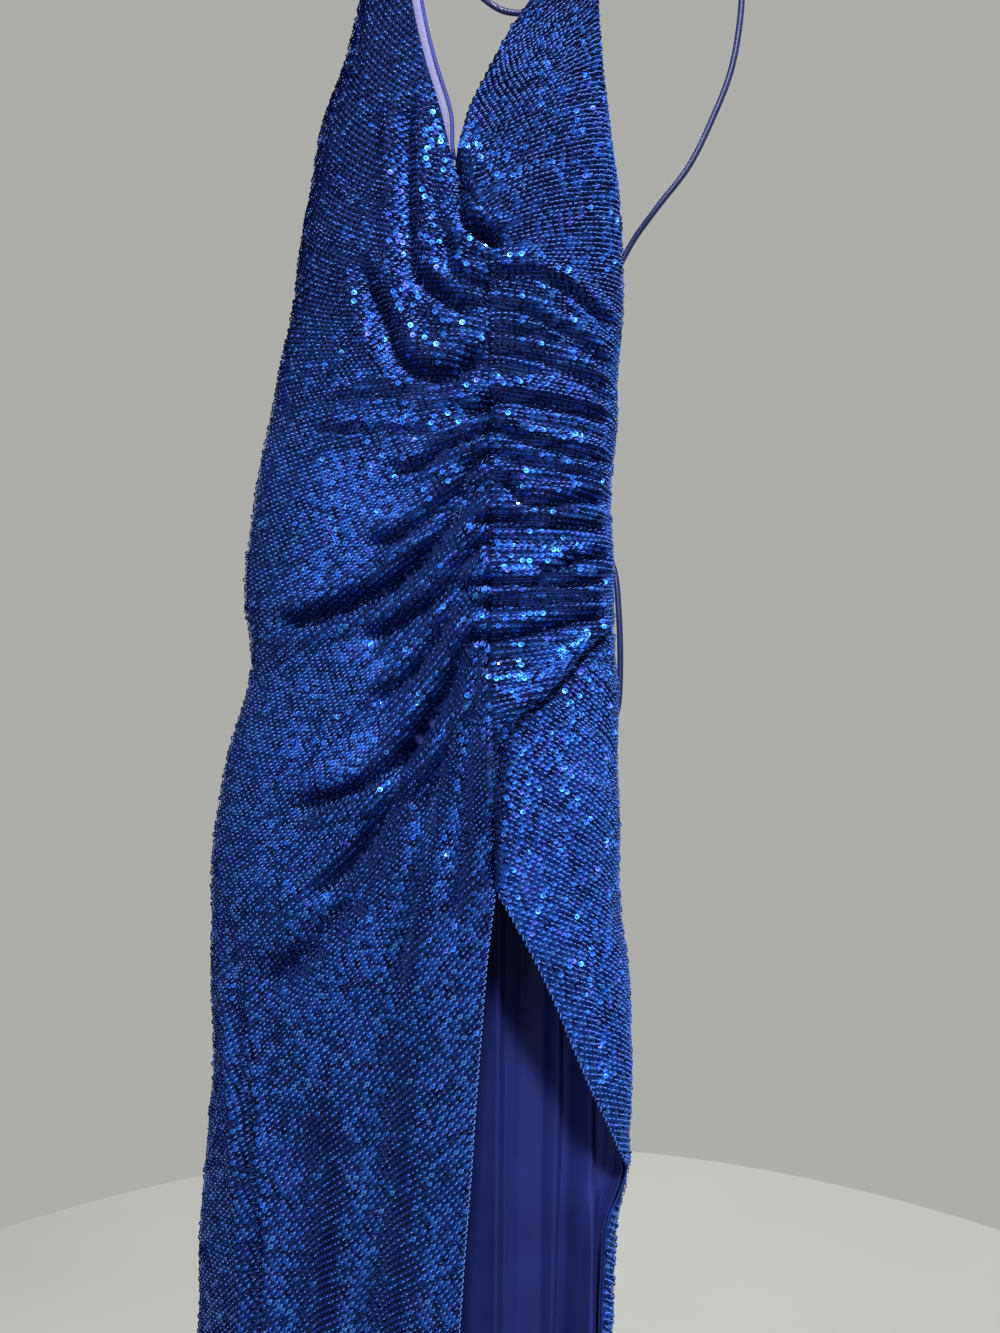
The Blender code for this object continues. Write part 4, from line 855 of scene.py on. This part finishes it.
FACING_SHOWS = 0.0048  # how far the left neck facing has rolled out past the sequins
neck_left = edge_line(front_left, 1.0, 0.95, np.linspace(LEFT_APEX, V_BOTTOM + 0.004, 70), BINDING_RADIUS)
neck_left += np.array([1.0, 0.25, 0.0]) * FACING_SHOWS * ease(np.linspace(0, 9, 70))[:, None]
neck_left -= np.array([1.0, 0.0, 0.0]) * FACING_SHOWS * ease(np.linspace(-5, 1, 70))[:, None]
bindings = {
    "neck_binding_left": neck_left,
    "neck_binding_right": edge_line(front_right, 0.0, 0.05, np.linspace(RIGHT_APEX, V_BOTTOM + 0.004, 70),
                                    -BINDING_RADIUS) + (0, 1.6 * BINDING_RADIUS, 0),
    "armhole_binding_left": edge_line(front_left, 0.0, 0.05, np.linspace(LEFT_APEX, UNDERARM, 70),
                                      BINDING_RADIUS),
    "armhole_binding_right": edge_line(front_right, 1.0, 0.95, np.linspace(RIGHT_APEX, UNDERARM, 70),
                                       BINDING_RADIUS),
    "back_binding_left": back_line(back_left, BINDING_RADIUS),
    "back_binding_right": back_line(back_right, BINDING_RADIUS),
}
# Bias-cut lining jersey, folded and stitched: satin side out, paler where it rolls over.
binding_jersey = new_material("bias_jersey_binding", "#3b4390", 0.65, Specular_IOR_Level=0.2)
place = add_node(binding_jersey, "ShaderNodeTexCoord").outputs["Object"]
puckers = add_node(binding_jersey, "ShaderNodeTexWave",
                   {"Vector": place, "Scale": 2 * math.pi / (20 * 0.0022), "Distortion": 2.0},
                   bands_direction="Z").outputs["Fac"]
add_node(binding_jersey, "ShaderNodeValToRGB", {0: puckers},
         ((0.1, "#1f2460"), (0.9, "#2b3176")), "Base Color")
add_node(binding_jersey, "ShaderNodeBump",
         {"Height": puckers, "Strength": 0.4, "Distance": 0.0004}, feeds="Normal")
# The other edges are bound with the shell's own mesh: darker, matt, puckered at each stitch in the same way.
dark_binding = new_material("bias_mesh_binding", "#070c2c", 0.75, Specular_IOR_Level=0.1)
place = add_node(dark_binding, "ShaderNodeTexCoord").outputs["Object"]
puckers = add_node(dark_binding, "ShaderNodeTexWave",
                   {"Vector": place, "Scale": 2 * math.pi / (20 * 0.0022), "Distortion": 2.0},
                   bands_direction="Z").outputs["Fac"]
add_node(dark_binding, "ShaderNodeValToRGB", {0: puckers}, ((0.1, "#050922"), (0.9, "#090f36")), "Base Color")
for name, line in bindings.items():
    material = binding_jersey if name == "neck_binding_left" else dark_binding
    show(name, tube(name, line, BINDING_RADIUS), material, cad_nodes=[name], slot="cord_satin")


def twisted_thread(name, line, reach, radius, pitch):
    """A thread wound round an edge, one turn for each pitch."""
    length = np.concatenate(([0], np.cumsum(np.linalg.norm(np.diff(line, axis=0), axis=-1))))
    at = np.arange(0, length[-1], pitch / 7)
    middle = np.column_stack([np.interp(at, length, column) for column in line.T])
    run = unit(np.gradient(middle, axis=0))
    out = unit(np.cross(run, (0, 1, 0)))
    turn = at[:, None] / pitch * 2 * math.pi
    path = middle + reach * (out * np.cos(turn) + np.cross(run, out) * np.sin(turn))
    return show(name, tube(name, path, radius, resolution=0), thread, slot="sequin_knit")


slit_edge = edge_line(front_left, 1.0, 0.97, np.linspace(SLIT_TOP - 0.004, HEM + 0.002, 200), 0.0)
flap_edge = edge_line(front_right, 0.0, 0.04, np.linspace(SLIT_TOP - 0.004, FLAP_CORNER + 0.002, 90), 0.0)
threads = {
    "front_left_panel": [twisted_thread("edge_thread_slit_left", slit_edge, 0.0009, 0.0003, 0.0040)],
    "front_right_panel": [twisted_thread("edge_thread_flap", flap_edge, 0.0008, 0.0003, 0.0045)],
}

# --- Lacing loops ---
# Short lengths of the same cord, thinner, both ends sewn in behind the open back's binding: three on each
# side.
LOOP_WIRE, LOOP_SLACK, LOOP_HALF_WIDTH = 0.0026, 0.0032, 0.0065
LOOP_CENTRES = {
    "left": ((-0.1275, 0.0095, -0.2920), (-0.1340, 0.0190, -0.3520), (-0.1315, 0.0305, -0.4120)),
    "right": ((0.0690, 0.0200, -0.2920), (0.0565, 0.0290, -0.3520), (0.0345, 0.0370, -0.4120)),
}
for side, name, surface in ((-1, "left", back_left), (1, "right", back_right)):
    line = back_line(surface, BINDING_RADIUS)[::-1]
    for number, centre in enumerate(LOOP_CENTRES[name], 1):
        feet = [np.array([np.interp(centre[2] + rise, line[:, 2], column) for column in line.T])
                for rise in (LOOP_HALF_WIDTH, -LOOP_HALF_WIDTH)]
        root = (feet[0] + feet[1]) / 2
        out = unit(np.array((-side, 0.15, 0.0)))
        reach = (np.array(centre) - root) @ out
        reach += CORD_DIAMETER / 2 + LOOP_WIRE / 2 + LOOP_SLACK - LOOP_HALF_WIDTH
        bend = np.linspace(math.pi / 2, -math.pi / 2, 13)[:, None]
        arc = root + out * reach + LOOP_HALF_WIDTH * (out * np.cos(bend) + np.array((0, 0, 1)) * np.sin(bend))
        path = smooth([feet[0] - out * 0.001, feet[0], *arc, feet[1], feet[1] - out * 0.001], 4)
        loop_name = f"lacing_loop_{name}_{number}"
        show(loop_name, tube(loop_name, path, LOOP_WIRE / 2), cord_satin,
             cad_nodes=[loop_name], slot="cord_satin")

# --- Linings ---
# A smooth polyester jersey lining, cut like the shell and set a little back from its edges. Inside the slit
# it hangs in long vertical pleats.
LINING_SET = 0.0034  # from the shell's face to the lining's
LINING_SETBACK = 0.003  # from the shell's open edges to the lining's
SIDE_BILLOW = 0.028  # how far the back right lining swings forward beside its side seam
PLEATS = ((((0.0090, -0.55), (0.0086, -0.70), (0.0060, -1.00), (0.0030, -1.45)), 0.0080, 0.0130, -0.0240),
          (((0.0330, -0.62), (0.0300, -0.85), (0.0270, -1.10), (0.0190, -1.45)), 0.0110, 0.0090, 0),
          (((0.0520, -0.62), (0.0500, -0.85), (0.0430, -1.10), (0.0370, -1.45)), 0.0090, 0.0100, -0.0150),
          (((0.0735, -0.60), (0.0720, -0.95), (0.0700, -1.20), (0.0680, -1.45)), 0.0090, 0.0090, -0.0170),
          (((-0.0300, -0.62), (-0.0330, -0.95), (-0.0400, -1.45)), 0.0090, 0.0090, 0),
          (((-0.0900, -0.60), (-0.0930, -0.95), (-0.1000, -1.45)), 0.0100, 0.0100, 0))


def lining_of(surface, front, billow=0.0):
    def lining(share, height, out=0.0):
        shell = surface(share, height, out - LINING_SET, LINING_SETBACK)
        if front:
            return shell
        inward = 0.006 * ease((-0.52 - height) / 0.1)
        for line, depth, width, rise in PLEATS:
            away, side, along_line = from_line(np.array(line), shell[..., 0], shell[..., 2])
            fade = ease(along_line / 0.10)
            inward = inward - depth * fade * np.exp(-((away / width) ** 2))
            over = np.exp(-away / width) * ease(away / 0.006) * (side < 0)
            inward = inward - rise * fade * over
        inward = inward + billow * np.exp(-(((share - 0.11) / 0.05) ** 2)) * ease((-0.84 - height) / 0.30)
        hold = ease(share / 0.10) * ease((1 - share) / 0.10)
        return shell - np.array((0, 1, 0)) * (np.maximum(inward, 0) * hold)[..., None]
    return lining


# Polyester jersey: fine wales 1.2 mm apart (real ones are half that), a soft violet-blue sheen on its falls.
lining_knit = new_material("polyester_lining_jersey", "#1f2a78", 0.6, Specular_IOR_Level=0.15,
                           Sheen_Weight=0.12, Sheen_Roughness=0.4, Sheen_Tint=linear("#4a50b0"))
place = add_node(lining_knit, "ShaderNodeTexCoord").outputs["Object"]
wales = add_node(lining_knit, "ShaderNodeTexWave", {"Vector": place, "Scale": 2 * math.pi / (20 * 0.0012),
                                                    "Distortion": 1.2, "Detail": 2.0},
                 bands_direction="X").outputs["Fac"]
mottle = add_node(lining_knit, "ShaderNodeTexNoise",
                  {"Vector": place, "Scale": 22.0, "Detail": 4.0}).outputs["Fac"]
mix = add_node(lining_knit, "ShaderNodeMath",
               {0: wales, 1: 0.25, 2: mottle}, operation="MULTIPLY_ADD").outputs[0]
add_node(lining_knit, "ShaderNodeValToRGB", {0: mix}, ((0.3, "#141a52"), (0.9, "#1b2360")), "Base Color")
add_node(lining_knit, "ShaderNodeBump",
         {"Height": wales, "Strength": 0.12, "Distance": 0.0002}, feeds="Normal")


def left_lining_top(share):
    return left_top(share) - LINING_SETBACK


def right_lining_top(share):
    return right_top(share) - LINING_SETBACK


def back_lining_top(share):
    """The back linings stop further below the edge at the sides, clear of the armholes."""
    return back_top(share) - LINING_SETBACK * (4 - 3 * share)


LININGS = {
    "front_left_lining": (lining_of(front_left, True), left_lining_top, (30, 150)),
    "front_right_lining": (lining_of(front_right, True), right_lining_top, (20, 150)),
    "back_left_lining": (lining_of(back_left, False), back_lining_top, (70, 140)),
    "back_right_lining": (lining_of(back_right, False, SIDE_BILLOW), back_lining_top, (100, 140)),
}
linings = {name: cloth(name, *size, surface, top, 0.0006, lining_knit, "lining_knit")
           for name, (surface, top, size) in LININGS.items()}

# --- Neck facings ---
# Pale iron-on tape behind the neck edges keeps the V from stretching; on the left it has rolled out past
# the sequins.
pale_tape = new_material("woven_stay_tape", "#a5a5bf", 0.8)
place = add_node(pale_tape, "ShaderNodeTexCoord").outputs["Object"]
weave = add_node(pale_tape, "ShaderNodeTexChecker", {"Vector": place, "Scale": 1 / 0.0012}).outputs["Fac"]
add_node(pale_tape, "ShaderNodeValToRGB", {0: weave}, ((0.0, "#55557a"), (1.0, "#646488")), "Base Color")
add_node(pale_tape, "ShaderNodeBump", {"Height": weave, "Strength": 0.3, "Distance": 0.0002}, feeds="Normal")
FACING_WIDTH, FACING_DEPTH = 0.0110, 0.0046


def facing(name, side, neck, apex, shows):
    strip = bmesh.new()
    bmesh.ops.create_grid(strip, x_segments=6, y_segments=60, size=0.5)
    share = np.array([vertex.co.x + 0.5 for vertex in strip.verts])
    fall = np.array([0.5 - vertex.co.y for vertex in strip.verts])
    height = apex - 0.014 + (V_BOTTOM + 0.005 - apex + 0.014) * fall
    reach = shows * ease(fall * 6) * ease((1 - fall) * 5)
    x = along(neck, height) + side * (0.0005 - reach + (FACING_WIDTH + reach) * share)
    rolled = 0.0032 * (1 - share) * reach / max(shows, 1e-6)
    places = on_gown(front_angle(x, height), height, -FACING_DEPTH)
    places[:, 1] -= rolled
    for vertex, place in zip(strip.verts, places):
        vertex.co = place
    piece = show(name, finish_mesh(name, strip), pale_tape, cad_nodes=[name], slot="pale_tape")
    piece.modifiers.new("thickness", "SOLIDIFY").thickness = 0.0005


facing("neck_facing_left", -1, LEFT_NECK, LEFT_APEX, FACING_SHOWS)
facing("neck_facing_right", 1, RIGHT_NECK, RIGHT_APEX, 0.0)

# --- Bust cups ---
# Moulded polyurethane foam, 6 mm thick in the middle and feathered to its edge, slipped between lining and
# body.
foam = new_material("laminated_cup_foam", "#26307e", 0.85, Sheen_Weight=0.3)
place = add_node(foam, "ShaderNodeTexCoord").outputs["Object"]
cells = add_node(foam, "ShaderNodeTexVoronoi", {"Vector": place, "Scale": 1 / 0.0014}).outputs["Distance"]
add_node(foam, "ShaderNodeValToRGB", {0: cells}, ((0.0, "#222b72"), (0.8, "#2c3688")), "Base Color")
add_node(foam, "ShaderNodeBump", {"Height": cells, "Strength": 0.25, "Distance": 0.0003}, feeds="Normal")
CUP_INSET, CUP_THICKNESS, CUP_HEIGHT, CUP_HALF_WIDTH, CUP_HALF_HEIGHT = 0.0054, 0.0060, -0.202, 0.034, 0.044
for name, x in (("bust_cup_left", -0.0850), ("bust_cup_right", 0.0360)):
    cup = bmesh.new()
    bmesh.ops.create_uvsphere(cup, u_segments=36, v_segments=20, radius=1)
    across, up, out = np.array([vertex.co for vertex in cup.verts]).T
    height = CUP_HEIGHT + up * CUP_HALF_HEIGHT
    flat = on_gown(front_angle(x + across * CUP_HALF_WIDTH, height), height)
    relief = front_relief(flat[:, 0], flat[:, 2])
    sunk = CUP_INSET + CUP_THICKNESS * (1 - out * (1 - 0.25 * np.hypot(across, up) ** 4)) / 2
    places = on_gown(front_angle(x + across * CUP_HALF_WIDTH, height), height, np.minimum(relief, 0) - sunk)
    for vertex, place in zip(cup.verts, places):
        vertex.co = place
    bmesh.ops.recalc_face_normals(cup, faces=cup.faces)
    show(name, finish_mesh(name, cup), foam, cad_nodes=[name], slot="foam")

# --- Ruching elastic and care label ---
# 8 mm braided elastic zigzagged behind the centre seam pulls the fronts into their gathers. The label is a
# blank satin loop in the left side seam.
ELASTIC_WIDTH = 0.0080
elastic_braid = new_material("braided_elastic", "#1a2158", 0.7)
place = add_node(elastic_braid, "ShaderNodeTexCoord").outputs["Object"]
braid = add_node(elastic_braid, "ShaderNodeTexWave", {"Vector": place, "Scale": 2 * math.pi / (20 * 0.0010)},
                 bands_direction="Z").outputs["Fac"]
add_node(elastic_braid, "ShaderNodeValToRGB", {0: braid}, ((0.2, "#12184a"), (0.8, "#222b6c")), "Base Color")
add_node(elastic_braid, "ShaderNodeBump",
         {"Height": braid, "Strength": 0.5, "Distance": 0.0003}, feeds="Normal")
label_satin = new_material("polyester_label_satin", "#e6e6ea", 0.35, Sheen_Weight=0.3)
place = add_node(label_satin, "ShaderNodeTexCoord").outputs["Object"]
floats = add_node(label_satin, "ShaderNodeTexWave", {"Vector": place, "Scale": 2 * math.pi / (20 * 0.0006)},
                  bands_direction="Z").outputs["Fac"]
add_node(label_satin, "ShaderNodeValToRGB", {0: floats}, ((0.1, "#dedee4"), (0.9, "#ececf0")), "Base Color")


def strip_of(name, columns, down, place, thickness, material, slot):
    """A narrow sheet laid out by place(share across, share down)."""
    grid = bmesh.new()
    bmesh.ops.create_grid(grid, x_segments=columns, y_segments=down, size=0.5)
    places = place(np.array([vertex.co.x + 0.5 for vertex in grid.verts]),
                   np.array([0.5 - vertex.co.y for vertex in grid.verts]))
    for vertex, point in zip(grid.verts, places):
        vertex.co = point
    piece = show(name, finish_mesh(name, grid), material, cad_nodes=[name], slot=slot)
    piece.modifiers.new("thickness", "SOLIDIFY").thickness = thickness


def elastic_place(share, fall):
    height = UNDERARM + (SLIT_TOP + 0.04 - UNDERARM) * fall
    x = along(CENTRE_SEAM, height) + (share - 0.5) * ELASTIC_WIDTH
    relief = front_relief(x, height)
    return on_gown(front_angle(x, height), height, relief - 0.0021)


def label_place(share, fall):
    height = -0.560 - 0.040 * fall
    angle = 2 * math.pi - SIDE - (0.008 + 0.026 * (1 - share)) / BACK_DEPTH
    return on_gown(angle, height, -0.0062 - 0.0012 * np.sin(fall * 2.4))


strip_of("ruching_elastic", 4, 200, elastic_place, 0.0005, elastic_braid, "elastic")
strip_of("care_label", 8, 10, label_place, 0.0004, label_satin, "label_satin")

# --- Zip, hook and eye ---
# A nylon zip, closed, under the bow: its tapes are woven polyester, its coil and tapes dyed to match; the
# slider, pull tab, stops and the wire hook and eye are lacquered brass and steel.
zip_tape = new_material("woven_zip_tape", "#172058", 0.75)
place = add_node(zip_tape, "ShaderNodeTexCoord").outputs["Object"]
twill = add_node(zip_tape, "ShaderNodeTexWave", {"Vector": place, "Scale": 2 * math.pi / (20 * 0.0010)},
                 bands_direction="DIAGONAL").outputs["Fac"]
add_node(zip_tape, "ShaderNodeValToRGB", {0: twill}, ((0.2, "#131b4c"), (0.8, "#1e2866")), "Base Color")
add_node(zip_tape, "ShaderNodeBump", {"Height": twill, "Strength": 0.4, "Distance": 0.0003}, feeds="Normal")
zip_coil = new_material("moulded_nylon_coil", "#141d58", 0.32)
place = add_node(zip_coil, "ShaderNodeTexCoord").outputs["Object"]
rub = add_node(zip_coil, "ShaderNodeTexNoise",
               {"Vector": place, "Scale": 300.0, "Detail": 3.0}).outputs["Fac"]
add_node(zip_coil, "ShaderNodeMapRange", {0: rub, 3: 0.25, 4: 0.45}, feeds="Roughness")
lacquered = new_material("lacquered_zinc", "#27356f", 0.28, 1.0)
place = add_node(lacquered, "ShaderNodeTexCoord").outputs["Object"]
worn = add_node(lacquered, "ShaderNodeTexNoise",
                {"Vector": place, "Scale": 420.0, "Detail": 4.0}).outputs["Fac"]
add_node(lacquered, "ShaderNodeValToRGB", {0: worn},
         ((0.35, "#22306a"), (0.62, "#2c3d7c"), (0.78, "#6a7396")), "Base Color")
add_node(lacquered, "ShaderNodeMapRange", {0: worn, 3: 0.20, 4: 0.40}, feeds="Roughness")
FINISHES = {
    "zip_tape_left": zip_tape, "zip_tape_right": zip_tape,
    "zip_teeth_left": zip_coil, "zip_teeth_right": zip_coil,
    "zip_top_stop_left": lacquered, "zip_top_stop_right": lacquered, "zip_bottom_stop": lacquered,
    "zip_slider": lacquered, "zip_pull_tab": lacquered, "back_hook": lacquered, "back_eye": lacquered,
}
for name, material in FINISHES.items():
    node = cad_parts[name]
    for holder in node.material_slots:
        holder.material = material
    if not node.material_slots:
        node.data.materials.append(material)
